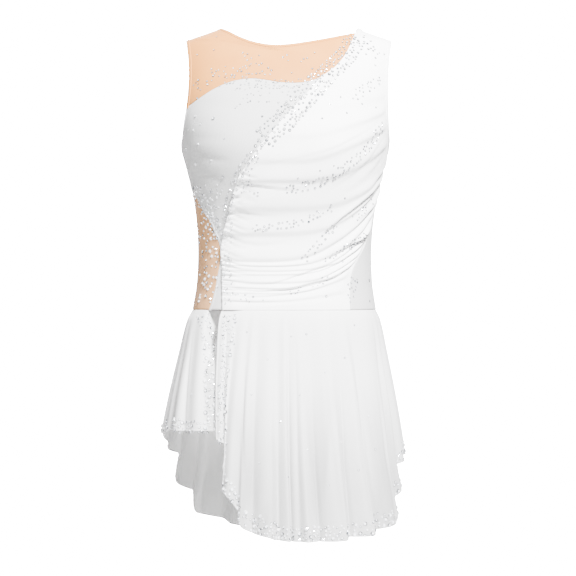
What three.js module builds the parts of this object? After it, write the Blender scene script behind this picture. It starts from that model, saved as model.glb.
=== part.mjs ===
// A sleeveless, asymmetric figure-skating dress in the hollow form it takes when it is worn.
// Millimetres, +Z up. The front faces -Y and +X is the wearer's left. The origin lies midway
// between the two shoulder seams, where a wearer's shoulders carry the dress.
//
// The bodice follows a general figure: rings of one table of half widths and depths. A place on
// it is an angle round the body and a height. The angle is 0 at the centre front, 90 at the
// wearer's left side, 180 at the centre back and -90 or 270 at the wearer's right side. Each
// panel is a net of such places between its cut edges, given a wall. The skirt hangs from the
// waist seam in folds, one row of a table for each.

import * as THREE from "three";

// Driving dimensions
const CLOTH = 1.4; // wall of every piece
const SEAM = 0.3; // between neighbouring pieces
const WAIST_Z = -397; // waist seam
const LAYER = 2.1; // from the middle of one cloth to the middle of the one that lies on it
const SQUARE = 0.06; // how much fuller than an ellipse a ring of the body is

// The general figure inside the bodice, from the neck points down to the waist seam.
// half is the half width, shift the middle of that width, front and back the depths
// before and behind the plane of the shoulder seams.
const FIGURE = [
  { z: -397, half: 132.6, shift: -4, front: 96, back: 98 },
  { z: -354, half: 126.5, shift: -3.6, front: 90, back: 86 },
  { z: -318, half: 125.2, shift: -3.4, front: 88, back: 79 },
  { z: -285, half: 126.5, shift: -3, front: 91, back: 80 },
  { z: -253, half: 130, shift: -2.7, front: 98, back: 84 },
  { z: -224, half: 135, shift: -2.5, front: 106, back: 89 },
  { z: -195, half: 142, shift: -2.5, front: 113, back: 94 },
  { z: -168, half: 149.3, shift: -2.6, front: 115, back: 97 },
  { z: -140, half: 156, shift: -1.2, front: 113, back: 99 },
  { z: -110, half: 161, shift: 0.6, front: 107, back: 98 },
  { z: -80, half: 164, shift: 1.8, front: 97, back: 91 },
  { z: -60, half: 164, shift: 2.5, front: 88, back: 83 },
  { z: -40, half: 163, shift: 2.5, front: 76, back: 72 },
  { z: -20, half: 158.5, shift: 2.5, front: 61, back: 58 },
  { z: -9.4, half: 148.3, shift: 2.5, front: 50, back: 48 },
  { z: 0, half: 124, shift: 2.5, front: 38, back: 37 },
  { z: 5, half: 110.5, shift: 2.5, front: 30, back: 29 },
  { z: 9.4, half: 98.3, shift: 2.5, front: 20, back: 20 },
];
const CUP = { angle: 30, z: -165, out: 9, wide: 24, tall: 45 }; // fullness of the bust

const NECK_Z = 9.4; // neck points, at both ends of the neckline
const TIP_Z = -9.4; // outer ends of the shoulder seams
const UNDERARM_Z = -168; // lowest point of both armholes

// Cut edges as seen from the front, { x, z }, each from its lower or wearer's right end.
const YOKE_EDGE_BUST = [
  { x: -142.9, z: -110 },
  { x: -123, z: -97 },
  { x: -101, z: -84 },
  { x: -77, z: -74.5 },
  { x: -52, z: -71 },
  { x: -31, z: -73 },
  { x: -10, z: -76.5 },
  { x: 14, z: -77.5 },
  { x: 33, z: -74.5 },
  { x: 49, z: -68 },
];
const YOKE_EDGE_STRAP = [
  { x: 49, z: -68 },
  { x: 64.5, z: -57.5 },
  { x: 76, z: -45 },
  { x: 84, z: -33 },
  { x: 90, z: -20 },
  { x: 98, z: 0 },
];
const STRAP_TOP = [
  { x: 98, z: 0 },
  { x: 99.4, z: 4.7 },
  { x: 100.8, z: NECK_Z },
];
const NECKLINE_FRONT = [
  { x: -95.8, z: NECK_Z },
  { x: -83, z: 2.6 },
  { x: -67, z: -7 },
  { x: -46, z: -15.5 },
  { x: -21, z: -20 },
  { x: 4, z: -19 },
  { x: 33, z: -14.5 },
  { x: 62, z: -8.5 },
  { x: 83, z: -3.5 },
  { x: 98, z: 0 },
];
const ARMHOLE_RIGHT = [
  { x: -150, z: -155 },
  { x: -147, z: -133 },
  { x: -142.9, z: -110 },
  { x: -141, z: -92.5 },
  { x: -139.7, z: -70.5 },
  { x: -140.5, z: -44 },
  { x: -142.8, z: -24.5 },
  { x: -144.2, z: -16 },
  { x: -145.8, z: TIP_Z },
];
const ARMHOLE_RIGHT_UNDER_YOKE = 3; // how many of those points lie on the bust panel
const ARMHOLE_LEFT = [
  { x: 147.2, z: -155 },
  { x: 145, z: -135 },
  { x: 144, z: -114.5 },
  { x: 143.6, z: -92 },
  { x: 144.2, z: -64 },
  { x: 146.2, z: -40 },
  { x: 148.6, z: -23.8 },
  { x: 150, z: -16 },
  { x: 150.8, z: TIP_Z },
];
const ARMHOLE_FLOOR = { angle: 81, z: -165.3 }; // beside the lowest point, on both sides of it
const GATHERED_EDGE = [
  { x: -90.4, z: WAIST_Z },
  { x: -90.7, z: -363 },
  { x: -91.5, z: -324 },
  { x: -91.8, z: -305 },
  { x: -85.5, z: -279 },
  { x: -78.6, z: -251 },
  { x: -67.7, z: -212 },
  { x: -55, z: -192 },
  { x: -41.7, z: -172 },
  { x: -23.7, z: -151 },
  { x: -2.8, z: -126 },
  { x: 22.5, z: -99 },
  { x: 49, z: -68 },
];
const INSET_EDGE = [
  { x: -110, z: WAIST_Z },
  { x: -104.9, z: -382 },
  { x: -100.8, z: -364 },
  { x: -97.8, z: -348 },
  { x: -94.8, z: -332 },
  { x: -93.4, z: -316 },
  { x: -95.9, z: -302 },
  { x: -102.1, z: -288 },
  { x: -109.2, z: -271 },
  { x: -118, z: -258 },
  { x: -127, z: -239 },
];
const INSET_APEX_Z = -221; // where both of the inset's edges reach the wearer's right side
const SIDE_EDGE = [
  { x: 89.4, z: WAIST_Z },
  { x: 89.4, z: -362 },
  { x: 93.2, z: -340 },
  { x: 101.2, z: -323 },
  { x: 110, z: -307 },
  { x: 118.6, z: -282 },
  { x: 125, z: -256 },
];
const SIDE_APEX_Z = -214; // where both of the side panel's edges reach the wearer's left side
const TUCK = 5; // how far the bust panel runs on under the gathered edge

// The same edges on the back, seen through from the front.
const YOKE_EDGE_BACK = [
  { x: -142.9, z: -110 },
  { x: -112, z: -98 },
  { x: -70, z: -89 },
  { x: -25, z: -85 },
  { x: 18, z: -80 },
  { x: 49, z: -68 },
];
const NECKLINE_BACK = [
  { x: -95.8, z: NECK_Z },
  { x: -90, z: -1 },
  { x: -82, z: -9 },
  { x: -65, z: -18 },
  { x: -40, z: -26 },
  { x: -10, z: -30 },
  { x: 25, z: -28 },
  { x: 62, z: -21 },
  { x: 84, z: -12 },
  { x: 98, z: 0 },
];
const STRAP_BASE = { x: 143.8, z: -78 }; // on the back armhole, level with the foot of the strap

// The drape's folds, from the waist seam up. Each row is the valley under a fold: its height at
// the gathered edge and at the side, how far it sags between them, how late on its way across it
// turns up to the side, and how far the fold over it stands out near the gathers, in the middle
// and at the side.
const DRAPE_FOLDS = [
  { left: -397, right: -397, sag: 0, late: 0, gathers: 0, middle: 0, side: 0 },
  { left: -386, right: -374, sag: 1, late: 0.5, gathers: 1.6, middle: 1.4, side: 0.8 },
  { left: -374, right: -351, sag: 2, late: 0.6, gathers: 1.6, middle: 1.8, side: 1.4 },
  { left: -365, right: -331, sag: 4, late: 0.62, gathers: 1.2, middle: 2, side: 2.2 },
  { left: -358.5, right: -313, sag: 3, late: 0.62, gathers: 2, middle: 2.6, side: 2.6 },
  { left: -348, right: -292, sag: 2, late: 0.6, gathers: 1.4, middle: 2, side: 3 },
  { left: -341, right: -268, sag: 4, late: 0.57, gathers: 1.2, middle: 1.6, side: 3.6 },
  { left: -334, right: -238, sag: 5, late: 0.52, gathers: 1, middle: 1.8, side: 3 },
  { left: -328, right: -212, sag: 5, late: 0.44, gathers: 3, middle: 3, side: 4.6 },
  { left: -294, right: -196, sag: 4, late: 0.5, gathers: 3, middle: 2, side: 3 },
  { left: -261, right: -180, sag: 2, late: 0.54, gathers: 2.8, middle: 2, side: 3 },
  { left: -219, right: -158, sag: 4, late: 0.54, gathers: 2.2, middle: 2, side: 2.6 },
  { left: -193, right: -138, sag: 3, late: 0.46, gathers: 1.4, middle: 1.6, side: 2.2 },
  { left: -160, right: -117, sag: 2, late: 0.4, gathers: 0.8, middle: 1.2, side: 1.6 },
  { left: -125, right: -96, sag: 0, late: 0.3, gathers: 0.5, middle: 0.6, side: 0.8 },
  { left: -82, right: -70, sag: 0, late: 0, gathers: 0, middle: 0, side: 0 },
  { left: -40, right: -43, sag: 0, late: 0, gathers: 0, middle: 0, side: 0 },
  { left: -10, right: -24, sag: 0, late: 0, gathers: 0, middle: 0, side: 0 },
  { left: 9.4, right: -9.4, sag: 0, late: 0, gathers: 0, middle: 0, side: 0 },
];
const HINGE = 0.12; // how softly a fold turns up towards the side
const DRAPE_EASE = 0.2; // degrees by which its side edge stands back from its neighbours
const DRAPE_SEAM = 0.018; // of the way across, in which the drape lies flat at the side
const FOLD_CREST = 0.32; // where between two valleys the crest lies, over the lower one
const FOLD_ROWS = [0, 0.16, 0.32, 0.62]; // rows of the net in a deep fold
const FEW_ROWS = [0, 0.32, 0.66]; // and in a shallow one

// The skirt's own rings. Columns as in the figure's table.
const SKIRT = [
  { z: -745, half: 200, shift: -6, front: 166, back: 188 },
  { z: -700, half: 193, shift: -6, front: 158, back: 179 },
  { z: -660, half: 186, shift: -6.5, front: 150, back: 170 },
  { z: -601, half: 175, shift: -7, front: 140, back: 157 },
  { z: -572, half: 171, shift: -7, front: 135, back: 150 },
  { z: -528, half: 163.5, shift: -6.6, front: 127, back: 140 },
  { z: -456, half: 149, shift: -5.4, front: 113, back: 123 },
  { z: -412, half: 139.4, shift: -4.6, front: 102.5, back: 110 },
  { z: -397.5, half: 132.6, shift: -4, front: 96, back: 98 },
];
const SKIRT_TOP_Z = SKIRT.at(-1).z;
const SEAM_FLAT = 0.06; // of a fold, in which the cloth lies flat at a side edge
const FULL_FOLD = 300; // how far below the waist seam the folds reach their full size

// Folds of the skirt, round from the slit's front edge by the wearer's left to the back. Each
// row is the valley where a fold begins: its angle at the waist seam and at the hem, how far
// the cloth up to the next valley stands out and leans on, how far the valley itself is lifted
// off the ring, and the height of the hem there.
const FRONT_FOLDS = [
  { waist: -40, hem: -31, out: 6, lean: 3, lift: 2, low: -577 },
  { waist: -32.5, hem: -26.5, out: 4, lean: 2, lift: -1, low: -588 },
  { waist: -27, hem: -26, out: 9, lean: 3, lift: -2, low: -646 },
  { waist: -20, hem: -18, out: 7, lean: 5, lift: 1, low: -686 },
  { waist: -9, hem: -8.5, out: 9, lean: 8, lift: 3, low: -711 },
  { waist: 2, hem: 2.4, out: 7, lean: 6, lift: -2, low: -715 },
  { waist: 12, hem: 12.4, out: 12, lean: 11, lift: -1, low: -715 },
  { waist: 26, hem: 25.5, out: 11, lean: 9, lift: -1, low: -713 },
  { waist: 36, hem: 36, out: 13, lean: 12, lift: -2, low: -707 },
  { waist: 50, hem: 48, out: 9, lean: 6, lift: -4, low: -684 },
  { waist: 59, hem: 57.5, out: 8, lean: 3, lift: -6, low: -624 },
  { waist: 74, hem: 73, out: 6, lean: 2, lift: -6, low: -610 },
  { waist: 90, hem: 90, out: 7, lean: 4, lift: -3, low: -606 },
];
const BACK_FOLDS = [
  { waist: 90, hem: 90, out: 7, lean: 4, lift: -3, low: -606 },
  { waist: 101, hem: 102, out: 7, lean: 5, lift: -7, low: -608 },
  { waist: 114, hem: 115, out: 9, lean: 6, lift: -9, low: -624 },
  { waist: 128, hem: 129, out: 12, lean: 6, lift: -4, low: -674 },
  { waist: 142, hem: 142, out: 11, lean: 4, lift: -2, low: -708 },
  { waist: 155, hem: 155, out: 12, lean: 2, lift: -2, low: -730 },
  { waist: 168, hem: 168, out: 12, lean: 0, lift: -2, low: -739 },
  { waist: 181, hem: 181, out: 12, lean: -2, lift: -2, low: -740 },
  { waist: 194, hem: 194, out: 11, lean: -4, lift: -2, low: -733 },
  { waist: 208, hem: 208, out: 14, lean: 3, lift: -2, low: -715 },
  { waist: 223, hem: 225, out: 15, lean: 4, lift: -4, low: -668 },
  { waist: 239, hem: 240, out: 8, lean: -6, lift: -8, low: -602 },
  { waist: 255, hem: 256, out: 8, lean: -4, lift: -6, low: -584 },
  { waist: 270, hem: 270, out: 7, lean: 0, lift: 0, low: -577 },
];
const SIDE_FOLDS = [
  { waist: -90, hem: -90, out: 7, lean: 3, lift: 0, low: -577 },
  { waist: -77, hem: -73, out: 5, lean: 2, lift: -1, low: -572 },
  { waist: -68, hem: -61, out: 9, lean: 4, lift: -3, low: -568 },
  { waist: -57.5, hem: -48.7, out: 8, lean: 3, lift: -2, low: -567 },
  { waist: -47.5, hem: -36.5, out: 0.5, lean: 0, lift: -4.5, low: -566 },
  { waist: -36, hem: -26.5, out: 0, lean: 0, lift: -4.5, low: -566 },
];
const TUCKED_FROM = 3; // the side folds from this row on pass under the slit's front edge
const TUCKED = -2.1; // how far in the tucked cloth is at the waist seam

const COLOURS = {
  white: { color: 0xf4f4f4, roughness: 0.6, metalness: 0 },
  nude: { color: 0xecc9ab, roughness: 0.75, metalness: 0 },
};

// Smooth curves through the rows of a table, with no overshoot, one for each column.
function columnsOf(rows, by) {
  const at = rows.map((row) => row[by]);
  const made = {};
  for (const name of Object.keys(rows[0])) {
    if (name !== by) made[name] = monotone(at, rows.map((row) => row[name]));
  }
  return made;
}

function monotone(x, y) {
  const slope = (i) => (y[i + 1] - y[i]) / (x[i + 1] - x[i]);
  const last = x.length - 1;
  const tangent = x.map((_, i) => {
    if (i === 0) return slope(0);
    if (i === last) return slope(last - 1);
    const before = slope(i - 1);
    const after = slope(i);
    return before * after <= 0 ? 0 : (2 * before * after) / (before + after);
  });
  return (place) => {
    const p = THREE.MathUtils.clamp(place, x[0], x[last]);
    let i = 0;
    while (i < last - 1 && p > x[i + 1]) i++;
    const width = x[i + 1] - x[i];
    const t = (p - x[i]) / width;
    const s = 1 - t;
    return (
      y[i] * s * s * (1 + 2 * t) +
      y[i + 1] * t * t * (3 - 2 * t) +
      width * t * s * (tangent[i] * s - tangent[i + 1] * t)
    );
  };
}

const bell = (distance, width) => Math.exp(-((distance / width) ** 2));
const mix = THREE.MathUtils.lerp;
const between = (a, b, t) => a.clone().lerp(b, t);

// A place on a ring of the body or of the skirt.
function onRing(columns, angle, z, extraFront = 0) {
  const turn = THREE.MathUtils.degToRad(angle);
  const full = 1 + SQUARE * Math.sin(2 * turn) ** 2;
  const depth = Math.cos(turn) > 0 ? columns.front(z) + extraFront : columns.back(z);
  return new THREE.Vector3(
    columns.shift(z) + columns.half(z) * Math.sin(turn) * full,
    -depth * Math.cos(turn) * full,
    z,
  );
}

const figure = columnsOf(FIGURE, "z");

function onFigure(angle, z) {
  const round = bell(angle - CUP.angle, CUP.wide) + bell(angle + CUP.angle, CUP.wide);
  const fullness = CUP.out * round * bell(z - CUP.z, CUP.tall);
  return onRing(figure, angle, z, fullness);
}

// The way out of the cloth at a place on the figure.
function outwards(angle, z) {
  const step = 0.5;
  const round = onFigure(angle + step, z).sub(onFigure(angle - step, z));
  const up = onFigure(angle, Math.min(z + step, NECK_Z)).sub(onFigure(angle, z - step));
  return round.cross(up).normalize();
}

// The angle at which the front of the figure has this x at this height.
function frontAngle(x, z) {
  let low = -90;
  let high = 90;
  for (let halving = 0; halving < 40; halving++) {
    const middle = (low + high) / 2;
    if (onFigure(middle, z).x < x) low = middle;
    else high = middle;
  }
  return (low + high) / 2;
}

// Points of an edge as angle and height, on the front or on the back.
const flat = (angle, z) => new THREE.Vector2(angle, z);
function onFront(edge) {
  const curve = new THREE.SplineCurve(edge.map((p) => flat(p.x, p.z)));
  return curve.getPoints(4 * (edge.length - 1)).map((p) => flat(frontAngle(p.x, p.y), p.y));
}
const behind = (edge) => edge.map((p) => flat(180 - p.x, p.y));
const moved = (edge, x) => edge.map((p) => ({ x: p.x + x, z: p.z }));

// Evenly spaced places along a smooth edge: steps + 1 of them, both ends included.
function spaced(points, steps) {
  const fine = new THREE.SplineCurve(points).getPoints(20 * points.length);
  const far = [0];
  for (let i = 1; i < fine.length; i++) {
    const step = onFigure(fine[i].x, fine[i].y).distanceTo(onFigure(fine[i - 1].x, fine[i - 1].y));
    far.push(far[i - 1] + step);
  }
  return Array.from({ length: steps + 1 }, (_, k) => {
    const wanted = (k / steps) * far.at(-1);
    const i = Math.max(1, far.findIndex((length) => length >= wanted));
    return between(fine[i - 1], fine[i], (wanted - far[i - 1]) / (far[i] - far[i - 1]));
  });
}

const joined = (...edges) => edges.flatMap((edge, i) => edge.slice(i ? 1 : 0));
const straight = (a, b, steps) => spaced([a, b], steps);

// The place at a height of an edge that rises all the way.
function atHeight(edge, z) {
  const i = Math.max(1, edge.findIndex((p) => p.y >= z - 1e-6));
  const [a, b] = [edge[i - 1], edge[i]];
  return flat(mix(a.x, b.x, (z - a.y) / (b.y - a.y)), z);
}

// A net of places between four edges that meet at their ends.
function net(bottom, top, left, right) {
  const across = bottom.length - 1;
  const up = left.length - 1;
  return left.map((_, j) =>
    bottom.map((_, i) => {
      const u = i / across;
      const v = j / up;
      const level = between(left[j], right[j], u);
      const rise = between(bottom[i], top[i], v);
      const corner = between(between(left[0], right[0], u), between(left[up], right[up], u), v);
      return level.add(rise).sub(corner);
    }),
  );
}

// One open surface from nets of places, welded where they meet. A place is a point of the
// cloth's middle and, where it is known, the way out of the cloth there.
function surfaceOf(nets) {
  const found = new Map();
  const places = [];
  const triangles = [];
  const indexOf = (place) => {
    const key = place.at.toArray().map((c) => Math.round(c * 1000)).join();
    if (!found.has(key)) found.set(key, places.push(place) - 1);
    return found.get(key);
  };
  for (const rows of nets) {
    const index = rows.map((row) => row.map(indexOf));
    for (let j = 0; j + 1 < rows.length; j++) {
      for (let i = 0; i + 1 < rows[j].length; i++) {
        const [a, b, c, d] = [index[j][i], index[j][i + 1], index[j + 1][i + 1], index[j + 1][i]];
        const apart = (p, q) => places[p].at.distanceTo(places[q].at);
        const pair = apart(a, c) <= apart(b, d) ? [[a, b, c], [a, c, d]] : [[a, b, d], [b, c, d]];
        triangles.push(...pair.filter((t) => new Set(t).size === 3));
      }
    }
  }
  return { points: places.map((place) => place.at), known: places.map((place) => place.out), triangles };
}

const edgesOf = ([a, b, c]) => [[a, b], [b, c], [c, a]];

function rimOf(triangles) {
  const all = new Set(triangles.flatMap((t) => edgesOf(t).map((e) => e.join())));
  return triangles.flatMap(edgesOf).filter(([a, b]) => !all.has([b, a].join()));
}

function normalsOf({ points, known, triangles }) {
  const normals = points.map(() => new THREE.Vector3());
  for (const t of triangles) {
    const [a, b, c] = t.map((i) => points[i]);
    const face = b.clone().sub(a).cross(c.clone().sub(a));
    for (const i of t) normals[i].add(face);
  }
  return normals.map((n, i) => known[i] ?? n.normalize());
}

// The closed wall of cloth whose middle is the surface, its rim drawn in by half a seam.
function wall(surface) {
  const { triangles } = surface;
  const rim = rimOf(triangles);
  const normals = normalsOf(surface);
  const inwards = surface.points.map(() => new THREE.Vector3());
  for (const [a, b] of rim) {
    const along = surface.points[b].clone().sub(surface.points[a]);
    for (const i of [a, b]) inwards[i].add(normals[i].clone().cross(along).normalize());
  }
  const points = surface.points.map((p, i) => {
    const way = inwards[i];
    return way.lengthSq() ? p.clone().addScaledVector(way, SEAM / way.lengthSq()) : p;
  });
  const side = (way) => points.map((p, i) => p.clone().addScaledVector(normals[i], (way * CLOTH) / 2));
  const count = points.length;
  const faces = [
    ...triangles,
    ...triangles.map(([a, b, c]) => [a + count, c + count, b + count]),
    ...rim.flatMap(([a, b]) => [[b, a, a + count], [b, a + count, b + count]]),
  ];
  const geometry = new THREE.BufferGeometry().setFromPoints([...side(1), ...side(-1)]);
  geometry.setIndex(faces.flat());
  geometry.computeVertexNormals();
  return geometry;
}

const dress = new THREE.Group();
const materials = {};
for (const [name, look] of Object.entries(COLOURS)) {
  materials[name] = new THREE.MeshStandardMaterial(look);
}

function sew(name, material, nets) {
  const mesh = new THREE.Mesh(wall(surfaceOf(nets)), materials[material]);
  mesh.name = name;
  dress.add(mesh);
}

// The places of a net of angles and heights, on the figure itself.
const smooth = (rows) => rows.map((row) => row.map(({ x, y }) => ({ at: onFigure(x, y), out: outwards(x, y) })));

// Edges that panels share, as angle and height. Each rises, or runs from the wearer's right.
const STEPS = {
  inset: 16,
  side: 16,
  underarm: 3,
  armhole: 5,
  highArmhole: 6,
  yoke: 12,
  strap: 7,
  strapTop: 2,
  foot: 7,
  shoulder: 3,
};
const LEFT_SIDE = 90;
const RIGHT_SIDE = -90;
const underarmRight = flat(RIGHT_SIDE, UNDERARM_Z);
const underarmLeft = flat(LEFT_SIDE, UNDERARM_Z);
const tipRight = flat(RIGHT_SIDE, TIP_Z);
const tipLeft = flat(LEFT_SIDE, TIP_Z);
const neckRight = flat(RIGHT_SIDE, NECK_Z);
const neckLeft = flat(LEFT_SIDE, NECK_Z);
const insetApex = flat(RIGHT_SIDE, INSET_APEX_Z);
const sideApex = flat(LEFT_SIDE, SIDE_APEX_Z);
const floorRight = flat(-ARMHOLE_FLOOR.angle, ARMHOLE_FLOOR.z);
const floorLeft = flat(ARMHOLE_FLOOR.angle, ARMHOLE_FLOOR.z);
const lowRight = onFront(ARMHOLE_RIGHT.slice(0, ARMHOLE_RIGHT_UNDER_YOKE));
const highRight = onFront(ARMHOLE_RIGHT.slice(ARMHOLE_RIGHT_UNDER_YOKE - 1));
const lowLeft = onFront([...ARMHOLE_LEFT.filter((p) => p.z < STRAP_BASE.z), STRAP_BASE]);
const highLeft = onFront([STRAP_BASE, ...ARMHOLE_LEFT.filter((p) => p.z > STRAP_BASE.z)]);

const edge = {
  inset: spaced([...onFront(INSET_EDGE), insetApex], STEPS.inset),
  side: spaced([...onFront(SIDE_EDGE), sideApex], STEPS.side),
  underarmRight: straight(insetApex, underarmRight, STEPS.underarm),
  underarmLeft: straight(sideApex, underarmLeft, STEPS.underarm),
  bustArmhole: spaced([underarmRight, floorRight, ...lowRight], STEPS.armhole),
  yokeArmhole: spaced(highRight, STEPS.highArmhole),
  lowArmhole: spaced([underarmLeft, floorLeft, ...lowLeft], STEPS.armhole),
  highArmhole: spaced(highLeft, STEPS.strap + STEPS.strapTop),
  yoke: spaced(onFront(YOKE_EDGE_BUST), STEPS.yoke),
  strap: spaced(onFront(YOKE_EDGE_STRAP), STEPS.strap),
  strapTop: spaced(onFront(STRAP_TOP), STEPS.strapTop),
  shoulder: straight(tipRight, neckRight, STEPS.shoulder),
  neckline: spaced(onFront(NECKLINE_FRONT), STEPS.yoke + STEPS.strap),
  yokeBack: spaced(behind(onFront(YOKE_EDGE_BACK)), STEPS.yoke),
  necklineBack: spaced(behind(onFront(NECKLINE_BACK)), STEPS.yoke + STEPS.strap),
};

// Front yoke of nude mesh: armhole and shoulder seam at its side, neckline over it, white under it
function frontYoke() {
  const bottom = joined(edge.yoke, edge.strap);
  const left = joined(edge.yokeArmhole, edge.shoulder);
  const right = left.map(() => bottom.at(-1));
  sew("front_yoke", "nude", [smooth(net(bottom, edge.neckline, left, right))]);
}

// Smooth white bust panel: from the armhole and the side down to a narrow tail beside the inset
function bustPanel() {
  const left = joined(edge.inset, edge.underarmRight, edge.bustArmhole);
  const right = spaced(onFront(moved(GATHERED_EDGE, TUCK)), left.length - 1);
  const top = joined(edge.yoke, [edge.yoke.at(-1), right.at(-1)]);
  const bottom = straight(left[0], right[0], top.length - 1);
  sew("bust_panel", "white", [smooth(net(bottom, top, left, right))]);
}

// Ruched drape with the wearer's left strap in one, gathered along its slanting edge
const drapeFolds = columnsOf(DRAPE_FOLDS.map((row, place) => ({ place, ...row })), "place");
const drapeLeft = joined(spaced(onFront(GATHERED_EDGE), 40), edge.strap, edge.strapTop);
const drapeRight = joined(edge.side, edge.underarmLeft, edge.lowArmhole, edge.highArmhole);

// How far a line that is level at first and turns up after a part of its way has risen.
function turnUp(u, late) {
  const bend = (x) => Math.hypot(x, HINGE) + x;
  return (bend(u - late) - bend(-late)) / (bend(1 - late) - bend(-late));
}

// A place is how many folds up the table and how far across from the gathers to the side.
function onDrape(s, u) {
  const a = atHeight(drapeLeft, drapeFolds.left(s));
  const b = atHeight(drapeRight, drapeFolds.right(s));
  const angle = mix(a.x, b.x - DRAPE_EASE, u);
  const z = mix(a.y, b.y, turnUp(u, drapeFolds.late(s))) - drapeFolds.sag(s) * 4 * u * (1 - u);
  const t = s - Math.floor(s);
  const t2 = t < FOLD_CREST ? t / FOLD_CREST / 2 : 0.5 + (t - FOLD_CREST) / (1 - FOLD_CREST) / 2;
  const crest = (1 - Math.cos(2 * Math.PI * t2)) / 2;
  const nearGathers = mix(drapeFolds.gathers(s), drapeFolds.middle(s), Math.min(1, u / 0.4));
  const high = mix(nearGathers, drapeFolds.side(s), THREE.MathUtils.smoothstep(u, 0.5, 0.9));
  const seamed = THREE.MathUtils.smoothstep(1 - u, DRAPE_SEAM, 0.1);
  const layer = LAYER * (1 - THREE.MathUtils.smoothstep(u, 0.08, 0.2));
  const out = outwards(angle, z);
  const at = onFigure(angle, z).addScaledVector(out, layer + high * crest * seamed);
  return { at, out: u === 0 || u === 1 || s === 0 ? out : undefined };
}

function drapePanel() {
  const across = 16;
  const rows = DRAPE_FOLDS.slice(0, -1).flatMap((fold, i) => {
    const rowsHere = fold.side > 1 ? FOLD_ROWS : FEW_ROWS;
    return rowsHere.map((t) => i + t);
  });
  rows.push(DRAPE_FOLDS.length - 1);
  const columns = Array.from({ length: across }, (_, i) => i / across);
  columns.push(1 - DRAPE_SEAM, 1);
  sew("drape_panel", "white", [rows.map((s) => columns.map((u) => onDrape(s, u)))]);
}

// A wedge at the waist, wrapped round the side from its front edge to the same edge on the back
function wedge(name, material, front) {
  const across = 6;
  const back = front.map((p) => flat(2 * LEFT_SIDE * Math.sign(p.x) - p.x, p.y));
  const [left, right] = front[0].x < 0 ? [back, front] : [front, back];
  const bottom = straight(left[0], right[0], across);
  const top = bottom.map(() => front.at(-1));
  sew(name, material, [smooth(net(bottom, top, left, right))]);
}

// Back yoke of nude mesh, the front yoke's plain counterpart
function backYoke() {
  const bottom = joined(edge.yokeBack, behind(edge.strap)).reverse();
  const top = [...edge.necklineBack].reverse();
  const right = behind(joined(edge.yokeArmhole, edge.shoulder));
  const left = right.map(() => bottom[0]);
  sew("back_yoke", "nude", [smooth(net(bottom, top, left, right))]);
}

// Plain back with the wearer's left strap in one: the body first, then the strap on its foot
function backBodice() {
  const foot = straight(edge.yokeBack.at(-1), behind(edge.highArmhole)[0], STEPS.foot);
  const top = joined(edge.yokeBack, foot).reverse();
  const left = behind(joined(edge.side, edge.underarmLeft, edge.lowArmhole));
  const right = behind(joined(edge.inset, edge.underarmRight, edge.bustArmhole));
  const bottom = straight(left[0], right[0], top.length - 1);
  const inner = behind(joined(edge.strap, edge.strapTop));
  const seam = straight(tipLeft, neckLeft, STEPS.foot);
  const strap = net([...foot].reverse(), seam, behind(edge.highArmhole), inner);
  sew("back_bodice", "white", [
    smooth(net(bottom, top, left, right)),
    smooth(strap),
  ]);
}

// The skirt: a place is how many folds along its table and how far down the cloth
const rings = columnsOf(SKIRT, "z");

function skirtPiece(name, folds, { perFold, down, tuckedFrom = Infinity }) {
  const columns = columnsOf(folds.map((row, place) => ({ place, ...row })), "place");
  const place = (s, v) => {
    const fold = folds[Math.min(Math.floor(s), folds.length - 2)];
    const t = s - Math.floor(s);
    const crest = (1 - Math.cos(2 * Math.PI * t)) / 2;
    const z = mix(SKIRT_TOP_Z, columns.low(s), v);
    const angle = mix(columns.waist(s), columns.hem(s), v);
    const size = Math.min(1, (SKIRT_TOP_Z - z) / FULL_FOLD) ** 0.85;
    const tucked = TUCKED * THREE.MathUtils.smoothstep(s, tuckedFrom + 0.6, tuckedFrom + 1);
    const out = (columns.lift(s) + fold.out * crest) * size + tucked;
    const point = onRing(rings, angle, z);
    const along = onRing(rings, angle + 1, z).sub(onRing(rings, angle - 1, z)).normalize();
    const away = new THREE.Vector3(along.y, -along.x, 0);
    return { at: point.addScaledVector(away, out).addScaledVector(along, fold.lean * crest * size) };
  };
  const last = folds.length - 1;
  const inner = Array.from({ length: last * perFold - 1 }, (_, i) => (i + 1) / perFold);
  const stops = [0, SEAM_FLAT, ...inner, last - SEAM_FLAT, last];
  const levels = Array.from({ length: down + 1 }, (_, j) => 1 - j / down);
  sew(name, "white", [levels.map((v) => stops.map((s) => place(s, v)))]);
}

frontYoke();
bustPanel();
drapePanel();
wedge("waist_inset", "nude", edge.inset);
wedge("side_panel", "white", edge.side);
backYoke();
backBodice();
skirtPiece("skirt_front", FRONT_FOLDS, { perFold: 5, down: 9 });
skirtPiece("skirt_back", BACK_FOLDS, { perFold: 4, down: 9 });
skirtPiece("skirt_side", SIDE_FOLDS, { perFold: 4, down: 9, tuckedFrom: TUCKED_FROM });

export default dress;
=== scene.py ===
# A sleeveless, asymmetric figure-skating dress, filled out as it is worn, with no wearer.
# The front faces -Y, +Z is up and +X is the wearer's left. Lengths in the tables are millimetres,
# and they become metres where a mesh is made. The pieces follow in the order they are sewn.

import math
import bmesh
import bpy
import numpy as np
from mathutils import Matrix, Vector
from mathutils.bvhtree import BVHTree


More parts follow.
